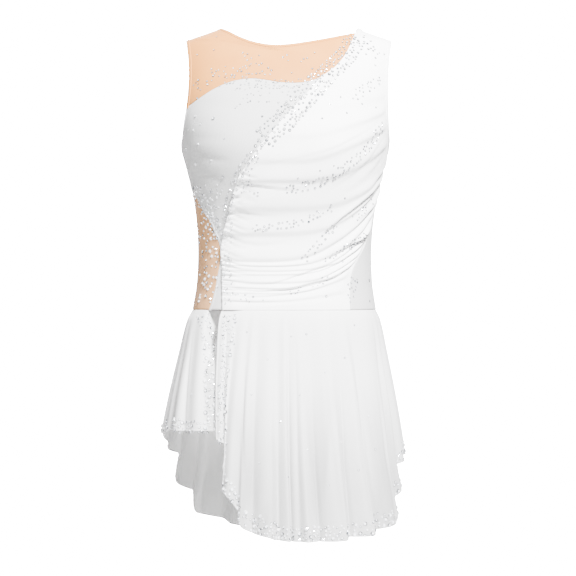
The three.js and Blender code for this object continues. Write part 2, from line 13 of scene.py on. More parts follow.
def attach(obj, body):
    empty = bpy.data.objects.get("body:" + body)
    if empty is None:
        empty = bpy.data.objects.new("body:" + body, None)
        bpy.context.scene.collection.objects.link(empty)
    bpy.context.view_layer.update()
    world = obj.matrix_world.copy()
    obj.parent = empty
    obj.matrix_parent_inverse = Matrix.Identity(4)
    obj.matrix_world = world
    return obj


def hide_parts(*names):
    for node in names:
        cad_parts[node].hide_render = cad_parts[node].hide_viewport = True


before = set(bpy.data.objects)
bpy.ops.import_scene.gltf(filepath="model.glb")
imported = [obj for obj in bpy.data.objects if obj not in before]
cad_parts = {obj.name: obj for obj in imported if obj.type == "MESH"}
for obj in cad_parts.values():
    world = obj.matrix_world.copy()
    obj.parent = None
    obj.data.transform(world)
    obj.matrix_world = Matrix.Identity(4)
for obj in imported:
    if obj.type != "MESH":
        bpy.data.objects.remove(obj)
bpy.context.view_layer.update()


# Front yoke
# Nude stretch mesh from the wearer's right shoulder across to the white strap, cut with the
# neckline as its upper edge. It is pulled smooth over the chest and sewn to the white below it.

# Rings of the general figure the dress is filled out to: height, half width, how far the ring's
# middle is to the wearer's left, depth before and depth behind the shoulder seams.
FIGURE = [
    (-397, 132.6, -4, 96, 98),
    (-354, 126.5, -3.6, 90, 86),
    (-318, 125.2, -3.4, 88, 79),
    (-285, 126.5, -3, 91, 80),
    (-253, 130, -2.7, 98, 84),
    (-224, 135, -2.5, 106, 89),
    (-195, 142, -2.5, 113, 94),
    (-168, 149.3, -2.6, 115, 97),
    (-140, 156, -1.2, 113, 99),
    (-110, 161, 0.6, 107, 98),
    (-80, 164, 1.8, 97, 91),
    (-60, 164, 2.5, 88, 83),
    (-40, 163, 2.5, 76, 72),
    (-20, 158.5, 2.5, 61, 58),
    (-9.4, 148.3, 2.5, 50, 48),
    (0, 124, 2.5, 38, 37),
    (5, 110.5, 2.5, 30, 29),
    (9.4, 98.3, 2.5, 20, 20),
]
NECK_Z = 9.4
TIP_Z = -9.4
CORNER_FULLNESS = 0.06
# The bust: its angle to each side, half its width in degrees, its height, half its height up the
# body and how far it stands out.
BUST_ANGLE = 30
BUST_SPREAD = 24
BUST_Z = -165
BUST_RISE = 45
BUST_OUT = 9


def curve_through(places, values):
    # A smooth curve through the values, with no overshoot.
    x = np.array(places, float)
    y = np.array(values, float)
    rise = np.diff(y) / np.diff(x)
    lean = np.zeros(len(x))
    lean[0] = rise[0]
    lean[-1] = rise[-1]
    same = rise[1:] * rise[:-1] > 0
    lean[1:-1][same] = (2 * rise[1:] * rise[:-1])[same] / (rise[1:] + rise[:-1])[same]

    def at(place):
        p = np.clip(place, x[0], x[-1])
        i = np.clip(np.searchsorted(x, p, side="right") - 1, 0, len(x) - 2)
        width = x[i + 1] - x[i]
        t = (p - x[i]) / width
        s = 1 - t
        level = y[i] * s * s * (1 + 2 * t) + y[i + 1] * t * t * (3 - 2 * t)
        return level + width * t * s * (lean[i] * s - lean[i + 1] * t)

    return at


def curves_of(table):
    columns = list(zip(*table))
    return [curve_through(columns[0], column) for column in columns[1:]]


def bell(distance, width):
    # One in the middle, and soon nothing past the width.
    return np.exp(-((distance / width) ** 2))


def on_ring(rings, angle, z, more_front=0):
    # The point of the rings at a height and an angle, where 0 is the middle of the front and 90 is
    # the wearer's left side. The front may stand out more by a few millimetres.
    half, shift, front, back = [ring(z) for ring in rings]
    turn = np.radians(angle)
    full = 1 + CORNER_FULLNESS * np.sin(2 * turn) ** 2
    depth = np.where(np.cos(turn) > 0, front + more_front, back)
    x = shift + half * np.sin(turn) * full
    y = -depth * np.cos(turn) * full
    return np.stack([x, y, z + 0 * x], axis=-1)


figure_rings = curves_of(FIGURE)


def on_figure(angle, z):
    bust = bell(angle - BUST_ANGLE, BUST_SPREAD) + bell(angle + BUST_ANGLE, BUST_SPREAD)
    return on_ring(figure_rings, angle, z, BUST_OUT * bust * bell(z - BUST_Z, BUST_RISE))


def unit(vectors):
    return vectors / np.linalg.norm(vectors, axis=-1, keepdims=True)


def outwards(angle, z):
    # The way straight out of the figure.
    around = on_figure(angle + 0.5, z) - on_figure(angle - 0.5, z)
    up = on_figure(angle, np.minimum(z + 0.5, NECK_Z)) - on_figure(angle, z - 0.5)
    return unit(np.cross(around, up))


def angle_at(x, z):
    # The angle at which the front of the figure has this x, found by halving.
    low = np.full(np.shape(x), -90.0)
    high = np.full(np.shape(x), 90.0)
    for _ in range(40):
        middle = (low + high) / 2
        short = on_figure(middle, z)[..., 0] < x
        low = np.where(short, middle, low)
        high = np.where(short, high, middle)
    return (low + high) / 2


def drawn_through(points, steps):
    # Places along a smooth line through the points, the same number of steps in each part of it.
    points = np.array(points, float)
    last = len(points) - 1
    place = np.linspace(0, last, steps * last + 1)
    i = np.minimum(place.astype(int), last - 1)
    t = (place - i)[:, None]
    a, b = points[np.maximum(i - 1, 0)], points[i]
    c, d = points[i + 1], points[np.minimum(i + 2, last)]
    v, w = (c - a) / 2, (d - b) / 2
    return (2 * b - 2 * c + v + w) * t**3 + (3 * c - 3 * b - 2 * v - w) * t**2 + v * t + b


def length_along(points):
    # How far along a line of points each of them is.
    steps = np.linalg.norm(np.diff(points, axis=0), axis=-1)
    return np.concatenate([[0], np.cumsum(steps)])


def on_front(edge):
    # A cut edge given by x and z as seen from the front, as angle and height.
    line = drawn_through(edge, 4)
    return np.stack([angle_at(line[:, 0], line[:, 1]), line[:, 1]], axis=-1)


def spaced(points, steps):
    # Evenly spaced places along a smooth edge of angles and heights.
    fine = drawn_through(points, 20)
    far = length_along(on_figure(fine[:, 0], fine[:, 1]))
    wanted = np.linspace(0, far[-1], steps + 1)
    return np.stack([np.interp(wanted, far, fine[:, k]) for k in (0, 1)], axis=-1)


def joined(*edges):
    return np.concatenate([edges[0]] + [edge[1:] for edge in edges[1:]])


def net(bottom, top, left, right):
    # A net of places between four edges that meet at their ends.
    u = np.linspace(0, 1, len(bottom))[None, :, None]
    v = np.linspace(0, 1, len(left))[:, None, None]
    level = left[:, None] * (1 - u) + right[:, None] * u
    rise = bottom[None] * (1 - v) + top[None] * v
    low = left[0] * (1 - u) + right[0] * u
    high = left[-1] * (1 - u) + right[-1] * u
    return level + rise - low * (1 - v) - high * v


def laid(places, lift=0):
    # The points of a net of angles and heights on the figure.
    angle, z = places[..., 0], places[..., 1]
    return on_figure(angle, z) + outwards(angle, z) * np.reshape(lift, np.shape(lift) + (1,))


def make_cloth(name, nets, thick):
    # One sheet of cloth from nets of points, welded where they meet, with its thickness. Its own
    # map has the cloth's real size in metres, for the weave.
    points, faces, grain = [], [], []
    for rows in nets:
        up, across = rows.shape[:2]
        index = np.arange(up * across).reshape(up, across) + len(points)
        loop = [index[:-1, :-1], index[:-1, 1:], index[1:, 1:], index[1:, :-1]]
        faces += np.stack(loop, axis=-1).reshape(-1, 4).tolist()
        points += (rows.reshape(-1, 3) / 1000).tolist()
        step = np.linalg.norm(np.diff(rows, axis=1), axis=-1)
        rise = np.linalg.norm(np.diff(rows, axis=0), axis=-1)
        u = np.concatenate([np.zeros((up, 1)), np.cumsum(step, axis=1)], axis=1)
        v = np.concatenate([np.zeros((1, across)), np.cumsum(rise, axis=0)], axis=0)
        grain += (np.stack([u.ravel(), v.ravel()], axis=-1) / 1000).tolist()
    mesh = bpy.data.meshes.new(name)
    mesh.from_pydata(points, [], faces)
    grain = np.array(grain)
    corners = np.array([loop.vertex_index for loop in mesh.loops])
    layer = mesh.uv_layers.new(name="grain")
    layer.data.foreach_set("uv", grain[corners].ravel())
    piece = bpy.data.objects.new(name, mesh)
    bpy.context.scene.collection.objects.link(piece)
    welding = bmesh.new()
    welding.from_mesh(mesh)
    bmesh.ops.remove_doubles(welding, verts=welding.verts, dist=0.00002)
    bmesh.ops.dissolve_degenerate(welding, edges=welding.edges, dist=0.00001)
    welding.to_mesh(mesh)
    welding.free()
    bpy.ops.object.select_all(action="DESELECT")
    bpy.context.view_layer.objects.active = piece
    piece.select_set(True)
    wall = piece.modifiers.new("thickness", "SOLIDIFY")
    wall.thickness = thick / 1000
    wall.offset = 0
    bpy.ops.object.modifier_apply(modifier=wall.name)
    bpy.ops.object.shade_smooth()
    return piece


# A hem's stitches: how far from its ends the row keeps, the step from one stitch to the next, and
# a stitch's length, width, height out of the cloth and depth into it.
STITCH_ENDS = 1.5
STITCH_STEP = 3.2
STITCH_LENGTH = 2.4
STITCH_WIDTH = 0.7
STITCH_HIGH = 0.4
STITCH_DEEP = 0.3


def turned_edge(name, runs, width, thick, stitch_in=None):
    # The turned hem of a piece: a flat band inside each of its edges, with a row of stitches.
    # A run is the edge's points, the way out of the cloth there and the way to the band's side.
    points, faces = [], []
    for edge_points, ways, towards in runs:
        run = unit(np.gradient(edge_points, axis=0))
        inward = unit(np.cross(ways, run))
        if (inward @ np.array(towards)).mean() < 0:
            inward = -inward
        # The band's section: how far inside the edge and how far out of the cloth.
        band = [
            (-0.25, 0), (0.1, thick), (width - 0.5, thick), (width, 0.1), (width, -0.2), (0.1, -thick),
        ]
        rings = np.stack([edge_points + inward * a + ways * h for a, h in band], axis=1)
        first, count, corners = len(points), len(rings), len(band)
        points += rings.reshape(-1, 3).tolist()
        for i in range(count - 1):
            for k in range(corners):
                n, m = first + i * corners, (k + 1) % corners
                faces.append([n + k, n + m, n + corners + m, n + corners + k])
        faces.append([first + k for k in range(corners)][::-1])
        faces.append([first + (count - 1) * corners + k for k in range(corners)])
        if stitch_in is None:
            continue
        # Each stitch is a bead with eight faces, half sunk in the band.
        far = length_along(edge_points)
        for place in np.arange(STITCH_ENDS, far[-1] - STITCH_ENDS, STITCH_STEP):
            at, out, side, way = [
                np.array([np.interp(place, far, rows[:, k]) for k in range(3)])
                for rows in (edge_points, ways, inward, run)
            ]
            at = at + side * stitch_in + out * thick
            first = len(points)
            ends = [
                at - way * STITCH_LENGTH / 2, at + way * STITCH_LENGTH / 2, at - side * STITCH_WIDTH / 2,
                at + side * STITCH_WIDTH / 2, at + out * STITCH_HIGH, at - out * STITCH_DEEP,
            ]
            points += [end.tolist() for end in ends]
            for a, b in ((2, 4), (4, 3), (3, 5), (5, 2)):
                faces += [[first, first + a, first + b], [first + 1, first + b, first + a]]
    mesh = bpy.data.meshes.new(name)
    mesh.from_pydata((np.array(points) / 1000).tolist(), [], faces)
    hem = bpy.data.objects.new(name, mesh)
    bpy.context.scene.collection.objects.link(hem)
    turning = bmesh.new()
    turning.from_mesh(mesh)
    bmesh.ops.recalc_face_normals(turning, faces=turning.faces)
    turning.to_mesh(mesh)
    turning.free()
    bpy.ops.object.select_all(action="DESELECT")
    bpy.context.view_layer.objects.active = hem
    hem.select_set(True)
    bpy.ops.object.shade_smooth_by_angle(angle=math.radians(40))
    return hem


def edge_run(line, steps, towards):
    # A run for turned_edge along an edge of angles and heights.
    places = spaced(line, steps)
    return on_figure(places[:, 0], places[:, 1]), outwards(places[:, 0], places[:, 1]), towards


def rgb(code):
    # A colour written as it shows on a screen, made linear.
    parts = [int(code[i : i + 2], 16) / 255 for i in (0, 2, 4)]
    return [c / 12.92 if c <= 0.04045 else ((c + 0.055) / 1.055) ** 2.4 for c in parts] + [1]


def add_node(material, kind, inputs=(), **settings):
    # One node with its settings, and its values and links by socket.
    made = material.node_tree.nodes.new(kind)
    for setting, value in settings.items():
        setattr(made, setting, value)
    for socket, value in dict(inputs).items():
        if isinstance(value, bpy.types.NodeSocket):
            material.node_tree.links.new(value, made.inputs[socket])
        else:
            made.inputs[socket].default_value = value
    return made


def new_finish(name, colour, roughness, sheen):
    # The finish of a plain cloth, with nothing of its weave.
    material = bpy.data.materials.new(name)
    material.use_nodes = True
    shader = material.node_tree.nodes["Principled BSDF"]
    shader.inputs["Base Color"].default_value = rgb(colour)
    shader.inputs["Roughness"].default_value = roughness
    shader.inputs["IOR"].default_value = 1.5
    shader.inputs["Specular IOR Level"].default_value = 0.3
    shader.inputs["Sheen Weight"].default_value = sheen
    shader.inputs["Sheen Roughness"].default_value = 0.4
    return material, shader


def net_finish(name, colour, roughness, sheen, holes_a_metre, unevenness, relief, depth):
    # The finish of a netted cloth, with its holes as a slight relief on the cloth's own map.
    material, shader = new_finish(name, colour, roughness, sheen)
    grain = add_node(material, "ShaderNodeUVMap", uv_map="grain").outputs["UV"]
    holes = add_node(
        material, "ShaderNodeTexVoronoi",
        {"Vector": grain, "Scale": holes_a_metre, "Randomness": unevenness}, voronoi_dimensions="2D",
    )
    bump = add_node(
        material, "ShaderNodeBump",
        {"Height": holes.outputs["Distance"], "Strength": relief, "Distance": depth},
    )
    material.node_tree.links.new(bump.outputs[0], shader.inputs["Normal"])
    return material, shader


# Power mesh: a nylon and elastane net with round holes 0.8 mm apart, drawn at 1.6 mm so that it
# shows. It is matt and slightly grainy, and paler where it is stretched more, round the waist.
nude_mesh, nude_shader = net_finish("nude_power_mesh", "D99C70", 0.7, 0.15, 620, 0.25, 0.35, 0.0004)
nude_grain = add_node(nude_mesh, "ShaderNodeUVMap", uv_map="grain").outputs["UV"]
patches = add_node(
    nude_mesh, "ShaderNodeTexNoise", {"Vector": nude_grain, "Scale": 22, "Detail": 3},
    noise_dimensions="2D",
)
tint = add_node(
    nude_mesh, "ShaderNodeMix",
    {0: patches.outputs[0], 6: rgb("B47330"), 7: rgb("C1813B")}, data_type="RGBA",
)
on_dress = add_node(nude_mesh, "ShaderNodeTexCoord").outputs["Object"]
nude_height = add_node(nude_mesh, "ShaderNodeSeparateXYZ", {0: on_dress}).outputs["Z"]
at_waist = add_node(
    nude_mesh, "ShaderNodeMapRange", {"Value": nude_height, "From Min": -0.15, "From Max": -0.2}
)
stretched = add_node(
    nude_mesh, "ShaderNodeMix",
    {0: at_waist.outputs[0], 6: tint.outputs[2], 7: rgb("B8885A")}, data_type="RGBA",
)
nude_mesh.node_tree.links.new(stretched.outputs[2], nude_shader.inputs["Base Color"])

# Cut edges as x and z seen from the front, from the lower or the wearer's right end.
BUST_TOP = [
    (-142.9, -110), (-123, -97), (-101, -84), (-77, -74.5), (-52, -71), (-31, -73),
    (-10, -76.5), (14, -77.5), (33, -74.5), (49, -68),
]
STRAP_INSIDE = [(49, -68), (64.5, -57.5), (76, -45), (84, -33), (90, -20), (98, 0)]
STRAP_END = [(98, 0), (99.4, 4.7), (100.8, NECK_Z)]
NECKLINE = [
    (-95.8, NECK_Z), (-83, 2.6), (-67, -7), (-46, -15.5), (-21, -20), (4, -19),
    (33, -14.5), (62, -8.5), (83, -3.5), (98, 0),
]
ARMHOLE_LOW_RIGHT = [(-150, -155), (-147, -133), (-142.9, -110)]
ARMHOLE_HIGH_RIGHT = [
    (-142.9, -110), (-141, -92.5), (-139.7, -70.5), (-140.5, -44), (-142.8, -24.5),
    (-144.2, -16), (-145.8, TIP_Z),
]

bust_top = on_front(BUST_TOP)
strap_inside = on_front(STRAP_INSIDE)
strap_end = on_front(STRAP_END)
neckline = on_front(NECKLINE)
armhole_high_right = on_front(ARMHOLE_HIGH_RIGHT)
shoulder_right = [(-90, TIP_Z), (-90, NECK_Z)]


def yoke_net(foot, strap, neck, armhole, shoulder):
    # Between the neckline and the foot and strap below it, to a point at the strap's top.
    bottom = joined(spaced(foot, 84), spaced(strap, 48))
    side = joined(spaced(armhole, 44), spaced(shoulder, 12))
    corner = np.repeat(bottom[-1:], len(side), axis=0)
    return net(bottom, spaced(neck, 132), side, corner)


def wear(piece, finish, node=None):
    # The finish, the place on the body and the solid that a piece stands for.
    piece.data.materials.clear()
    piece.data.materials.append(finish)
    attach(piece, "root")
    if node:
        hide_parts(node)
    return piece


def yoke_hem(name, neck, armhole):
    runs = [edge_run(neck, 120, (0, 0, -1)), edge_run(armhole, 60, (1, 0, 0))]
    return wear(turned_edge(name, runs, 5.5, 0.95, 4.6), nude_mesh)


front_yoke_rows = laid(yoke_net(bust_top, strap_inside, neckline, armhole_high_right, shoulder_right))
front_yoke = wear(make_cloth("yoke_front", [front_yoke_rows], 0.9), nude_mesh, "front_yoke")
front_yoke_hem = yoke_hem("yoke_front_hem", neckline, armhole_high_right)

# Back yoke
# The front yoke's plain counterpart in the same nude stretch mesh, with a deeper neckline.
YOKE_FOOT_BACK = [(-142.9, -110), (-112, -98), (-70, -89), (-25, -85), (18, -80), (49, -68)]
NECKLINE_BACK = [
    (-95.8, NECK_Z), (-90, -1), (-82, -9), (-65, -18), (-40, -26), (-10, -30),
    (25, -28), (62, -21), (84, -12), (98, 0),
]


def behind(edge):
    # The same edge on the back of the figure.
    return np.stack([180 - edge[..., 0], edge[..., 1]], axis=-1)


yoke_foot_back = on_front(YOKE_FOOT_BACK)
neckline_back = on_front(NECKLINE_BACK)
back_yoke_places = yoke_net(
    yoke_foot_back, strap_inside, neckline_back, armhole_high_right, shoulder_right
)[:, ::-1]
back_yoke_rows = laid(behind(back_yoke_places))
back_yoke = wear(make_cloth("yoke_back", [back_yoke_rows], 0.9), nude_mesh, "back_yoke")
back_yoke_hem = yoke_hem("yoke_back_hem", behind(neckline_back), behind(armhole_high_right))

# Waist inset
# A wedge of the same nude mesh at the wearer's right waist, wrapped round the side seam.
INSET_EDGE = [
    (-110, -397), (-104.9, -382), (-100.8, -364), (-97.8, -348), (-94.8, -332), (-93.4, -316),
    (-95.9, -302), (-102.1, -288), (-109.2, -271), (-118, -258), (-127, -239),
]
inset_edge = np.concatenate([on_front(INSET_EDGE), [(-90, -221)]])


def wedge_net(front):
    # Round the side from a front edge to the same edge on the back, up to where they meet.
    front = spaced(front, 96)
    side = 180 * np.sign(front[0, 0])
    back = np.stack([side - front[:, 0], front[:, 1]], axis=-1)
    left, right = (back, front) if front[0, 0] < 0 else (front, back)
    bottom = spaced([left[0], right[0]], 56)
    return net(bottom, np.repeat(front[-1:], len(bottom), axis=0), left, right)


inset_rows = laid(wedge_net(inset_edge))
waist_inset = wear(make_cloth("inset_waist", [inset_rows], 0.9), nude_mesh, "waist_inset")

# Side panel
# A plain white wedge at the wearer's left waist, of the same width round the side seam.
SIDE_EDGE = [
    (89.4, -397), (89.4, -362), (93.2, -340), (101.2, -323), (110, -307), (118.6, -282), (125, -256),
]
side_edge = np.concatenate([on_front(SIDE_EDGE), [(90, -214)]])

# Stretch jersey: nylon and elastane, knitted in fine ribs 0.7 mm apart, drawn at 2.2 mm so that
# they show. It has a soft sheen, and is a little greyer than the drape's mesh.
white_jersey, jersey_shader = new_finish("white_stretch_jersey", "BEBEBE", 0.55, 0.2)
jersey_grain = add_node(white_jersey, "ShaderNodeUVMap", uv_map="grain").outputs["UV"]
ribs = add_node(
    white_jersey, "ShaderNodeTexWave", {"Vector": jersey_grain, "Scale": 145, "Distortion": 0.4},
    wave_type="BANDS", bands_direction="X",
)
rib_relief = add_node(
    white_jersey, "ShaderNodeBump", {"Height": ribs.outputs[1], "Strength": 0.25, "Distance": 0.0003}
)
white_jersey.node_tree.links.new(rib_relief.outputs[0], jersey_shader.inputs["Normal"])

side_rows = laid(wedge_net(side_edge))
side_panel = wear(make_cloth("side_cloth", [side_rows], 1), white_jersey, "side_panel")

# Bust panel
# Smooth white jersey over the wearer's right front, with a heart-shaped upper edge and a narrow
# tail to the waist. Its inner edge runs on under the gathered edge of the drape.
GATHERED_EDGE = [
    (-90.4, -397), (-90.7, -363), (-91.5, -324), (-91.8, -305), (-85.5, -279), (-78.6, -251),
    (-67.7, -212), (-55, -192), (-41.7, -172), (-23.7, -151), (-2.8, -126), (22.5, -99), (49, -68),
]
UNDERARM_Z = -168
underarm_right = [inset_edge[-1], (-90, UNDERARM_Z)]
armhole_low_right = np.concatenate([[(-90, UNDERARM_Z), (-81, -165.3)], on_front(ARMHOLE_LOW_RIGHT)])
bust_left = joined(spaced(inset_edge, 96), spaced(underarm_right, 24), spaced(armhole_low_right, 34))
bust_right = spaced(on_front([(x + 5, z) for x, z in GATHERED_EDGE]), len(bust_left) - 1)
bust_head = spaced(bust_top, 84)
tuck = np.linspace(bust_head[-1], bust_right[-1], 4)
bust_foot = spaced([bust_left[0], bust_right[0]], 87)
bust_places = net(bust_foot, joined(bust_head, tuck), bust_left, bust_right)
# Drag lines: angle and height of each end, half width, and how far they stand in (-) or out.
BUST_LINES = [
    (-32, -188, -72, -176, 5, -0.9), (-38, -214, -78, -196, 6, -1.2), (-28, -158, -66, -152, 7, -0.6),
    (-44, -232, -74, -222, 4, 0.7), (-20, -112, -60, -104, 9, -0.5),
]


def ease(value, low, high):
    # From nothing to one between two values, with soft ends.
    t = np.clip((value - low) / (high - low), 0, 1)
    return t * t * (3 - 2 * t)


MM_A_DEGREE = 2.3


def soft_lines(places, lines):
    # The lift of soft troughs and ridges that run between two places and fade out at both ends.
    lift = np.zeros(places.shape[:2])
    for angle, z, last_angle, last_z, half, high in lines:
        run = np.array([(last_angle - angle) * MM_A_DEGREE, last_z - z])
        gap = (places - (angle, z)) * (MM_A_DEGREE, 1)
        t = (gap @ run) / (run @ run)
        off = np.linalg.norm(gap - np.clip(t, 0, 1)[..., None] * run, axis=-1)
        lift += high * bell(off, half) * ease(t, -0.15, 0.3) * (1 - ease(t, 0.5, 1.1))
    return lift


bust_rows = laid(bust_places, soft_lines(bust_places, BUST_LINES))
bust_panel = wear(make_cloth("bust_cloth", [bust_rows], 1), white_jersey, "bust_panel")
bust_hem = wear(
    turned_edge(
        "bust_hem",
        [
            edge_run(armhole_low_right, 50, (1, 0, -0.5)),
            edge_run(bust_left[::-1][34:], 130, (1, 0, 0)),
        ],
        3.2, 0.95, 2.2,
    ),
    white_jersey,
)

# Back of the bodice
# Plain white jersey from the waist seam to the back yoke, with the wearer's left strap in one.
ARMHOLE_LEFT = [
    (147.2, -155), (145, -135), (144, -114.5), (143.6, -92), (143.8, -78), (144.2, -64),
    (146.2, -40), (148.6, -23.8), (150, -16), (150.8, TIP_Z),
]
underarm_left = [side_edge[-1], (90, UNDERARM_Z)]
armhole_low_left = np.concatenate([[(90, UNDERARM_Z), (81, -165.3)], on_front(ARMHOLE_LEFT[:5])])
armhole_high_left = on_front(ARMHOLE_LEFT[4:])
foot = spaced([behind(yoke_foot_back)[-1], behind(armhole_high_left)[0]], 36)
back_head = joined(behind(spaced(yoke_foot_back, 84)), foot)[::-1]
back_left = behind(
    joined(spaced(side_edge, 96), spaced(underarm_left, 24), spaced(armhole_low_left, 34))
)
back_right = behind(bust_left)
strap_back = net(
    foot[::-1],
    spaced([(90, TIP_Z), (90, NECK_Z)], 36),
    behind(spaced(armhole_high_left, 56)),
    behind(joined(spaced(strap_inside, 48), spaced(strap_end, 8))),
)
back_places = net(spaced([back_left[0], back_right[0]], 120), back_head, back_left, back_right)
BACK_LINES = [
    (122, -334, 172, -349, 6, -1.4), (236, -302, 198, -324, 7, -1.5), (118, -288, 154, -311, 5, -1),
    (244, -346, 206, -362, 5, -1.2), (128, -372, 160, -378, 6, 0.9), (230, -208, 204, -236, 8, -0.9),
    (132, -196, 160, -226, 7, -1), (190, -356, 222, -340, 5, 0.8), (225, -258, 190, -270, 9, -0.8),
]
back_rows = laid(back_places, soft_lines(back_places, BACK_LINES))
strap_back_rows = laid(strap_back)
back_bodice = wear(
    make_cloth("back_cloth", [back_rows, strap_back_rows], 1),
    white_jersey, "back_bodice",
)
armhole_left = joined(armhole_low_left, armhole_high_left)
back_hem = wear(
    turned_edge(
        "back_hem",
        [
            edge_run(behind(armhole_low_right), 50, (1, 0, -0.5)),
            edge_run(behind(armhole_left), 110, (-1, 0, 0)),
            edge_run(behind(strap_end), 10, (1, 0, 0)),
        ],
        5, 1, 4.2,
    ),
    white_jersey,
)

# Drape
# Soft white mesh cut too long and drawn up along its slanting edge, so that it falls in folds
# from the gathers on the wearer's right up to the side and armhole. The strap is in one with it.

# Folds from the waist seam up: the fold's number, height of the valley under it at the gathers and
# at the side, the valley's sag between them, how late it turns up to the side, and how far the
# fold stands out near the gathers, in the middle and at the side.
DRAPE_FOLDS = [
    (0, -397, -397, 0, 0, 0, 0, 0),
    (1, -386, -374, 1, 0.5, 0.6, 0.8, 0.8),
    (2, -374, -351, 2, 0.6, 0.8, 1, 1.4),
    (3, -365, -331, 4, 0.62, 0.9, 1.4, 2.2),
    (4, -358.5, -313, 3, 0.62, 1.2, 1.8, 2.6),
    (5, -348, -292, 2, 0.6, 0.6, 1, 3),
    (6, -341, -268, 4, 0.57, 0.5, 0.9, 3.6),
    (7, -334, -238, 5, 0.52, 0.5, 1.2, 3),
    (8, -328, -212, 5, 0.44, 1.8, 2.4, 4.6),
    (9, -294, -196, 4, 0.5, 3, 2, 3),
    (10, -261, -180, 2, 0.54, 2.8, 2, 3),
    (11, -219, -158, 4, 0.54, 2.2, 2, 2.6),
    (12, -193, -138, 3, 0.46, 1.4, 1.6, 2.2),
    (13, -160, -117, 2, 0.4, 0.8, 1.2, 1.6),
    (14, -125, -96, 0, 0.3, 0.5, 0.6, 0.8),
    (15, -82, -70, 0, 0, 0, 0, 0),
    (16, -40, -43, 0, 0, 0, 0, 0),
    (17, -10, -24, 0, 0, 0, 0, 0),
    (18, 9.4, -9.4, 0, 0, 0, 0, 0),
]
drape_left = joined(spaced(on_front(GATHERED_EDGE), 80), spaced(strap_inside, 14), spaced(strap_end, 2))
drape_right = joined(
    spaced(side_edge, 32), spaced(underarm_left, 6), spaced(armhole_low_left, 10),
    spaced(armhole_high_left, 18),
)
# Where a fold's crest is between its valley and the next, how far the gathered edge lies out over
# the bust panel, and how softly a fold turns up to the side.
FOLD_CREST = 0.32
EDGE_OVER_BUST = 2.1
TURN_SOFTNESS = 0.12


def turned_up(u, late):
    # From the gathers (0) to the side (1): nearly level at first, then straight up from the turn.
    def bend(x):
        return np.hypot(x, TURN_SOFTNESS) + x

    return (bend(u - late) - bend(-late)) / (bend(1 - late) - bend(-late))


def on_drape(s, u):
    # The cloth at a fold's number, with its share of the way to the next, and at a share of the
    # way from the gathers to the side.
    left, right, sag, late, gathers, middle, side = [curve(s) for curve in curves_of(DRAPE_FOLDS)]
    a = np.interp(left, drape_left[:, 1], drape_left[:, 0])
    b = np.interp(right, drape_right[:, 1], drape_right[:, 0])
    angle = a * (1 - u) + b * u
    z = left + (right - left) * turned_up(u, late) - sag * 4 * u * (1 - u)
    t = s - np.floor(s)
    up_to_crest = t / (2 * FOLD_CREST)
    past_crest = 0.5 + (t - FOLD_CREST) / (2 * (1 - FOLD_CREST))
    crest = (1 - np.cos(2 * np.pi * np.where(t < FOLD_CREST, up_to_crest, past_crest))) / 2
    near = gathers + (middle - gathers) * np.minimum(1, u / 0.4)
    high = near + (side - near) * ease(u, 0.5, 0.9)
    seamed = ease(1 - u, 0.018, 0.1)
    layer = EDGE_OVER_BUST * (1 - ease(u, 0.08, 0.2))
    way = outwards(angle, z)
    point = on_figure(angle, z) + way * (layer + high * crest * seamed)[..., None]
    return point, way


# Lines where one fold hangs over the cloth below it, as x and z in the plane of the shoulder
# seams, seen from 3.2 m in front: how far the lip stands out, how far up the fold reaches over
# it, where along the line the lip is deepest, and the line itself.
EYE = (1.45, -3200, -366)
FOLD_LIPS = [
    (8, 13, 0.2, [
        (138, -210), (129, -220), (117, -231), (107, -240), (91, -254), (81, -262), (70, -272),
        (55, -286), (39, -305),
    ]),
    (8, 9, 0.25, [
        (127, -273), (115, -288), (107, -295), (93, -302), (81, -310), (65, -320), (48, -330),
    ]),
    (3.4, 7, 0.3, [
        (119, -294), (106, -307), (91, -317), (81, -324), (67, -331), (46, -337), (19, -346),
        (-10, -356), (-36, -360), (-61, -360), (-88, -356),
    ]),
    (5.6, 7, 0.42, [
        (112, -314), (99, -328), (84, -340), (70, -349), (48, -355), (29, -360), (4, -366),
        (-32, -370), (-61, -369), (-91, -363),
    ]),
    (1.8, 5, 0.6, [
        (77, -355), (48, -366), (19, -372), (-10, -376), (-36, -378), (-68, -378), (-91, -373),
    ]),
    (1.5, 5, 0.8, [(19, -384), (-10, -385), (-36, -386), (-68, -385), (-91, -384)]),
    (2.4, 11, 0.15, [
        (-68, -208), (-54, -215), (-36, -218), (-16, -221), (4, -223), (28, -220), (55, -211),
    ]),
    (0.9, 16, 0.7, [
        (-54, -189), (-25, -185), (19, -176), (62, -165), (99, -147), (123, -133), (142, -115),
    ]),
    (1.1, 14, 0.8, [(33, -233), (62, -221), (91, -204), (115, -183), (130, -162), (144, -140)]),
    (1.4, 12, 0.2, [(-81, -250), (-65, -256), (-46, -259), (-25, -260), (4, -257)]),
    (1.6, 12, 0.2, [(-87, -289), (-71, -297), (-54, -301), (-32, -302), (-3, -299), (26, -291)]),
    (1.3, 8, 0.2, [(-91, -328), (-75, -336), (-57, -339), (-36, -339)]),
    (1.6, 12, 0.2, [(141, -169), (126, -192), (106, -212), (84, -228), (62, -243)]),
    (1.2, 7, 0.2, [(136, -236), (125, -250), (108, -264), (90, -277), (74, -288)]),
]
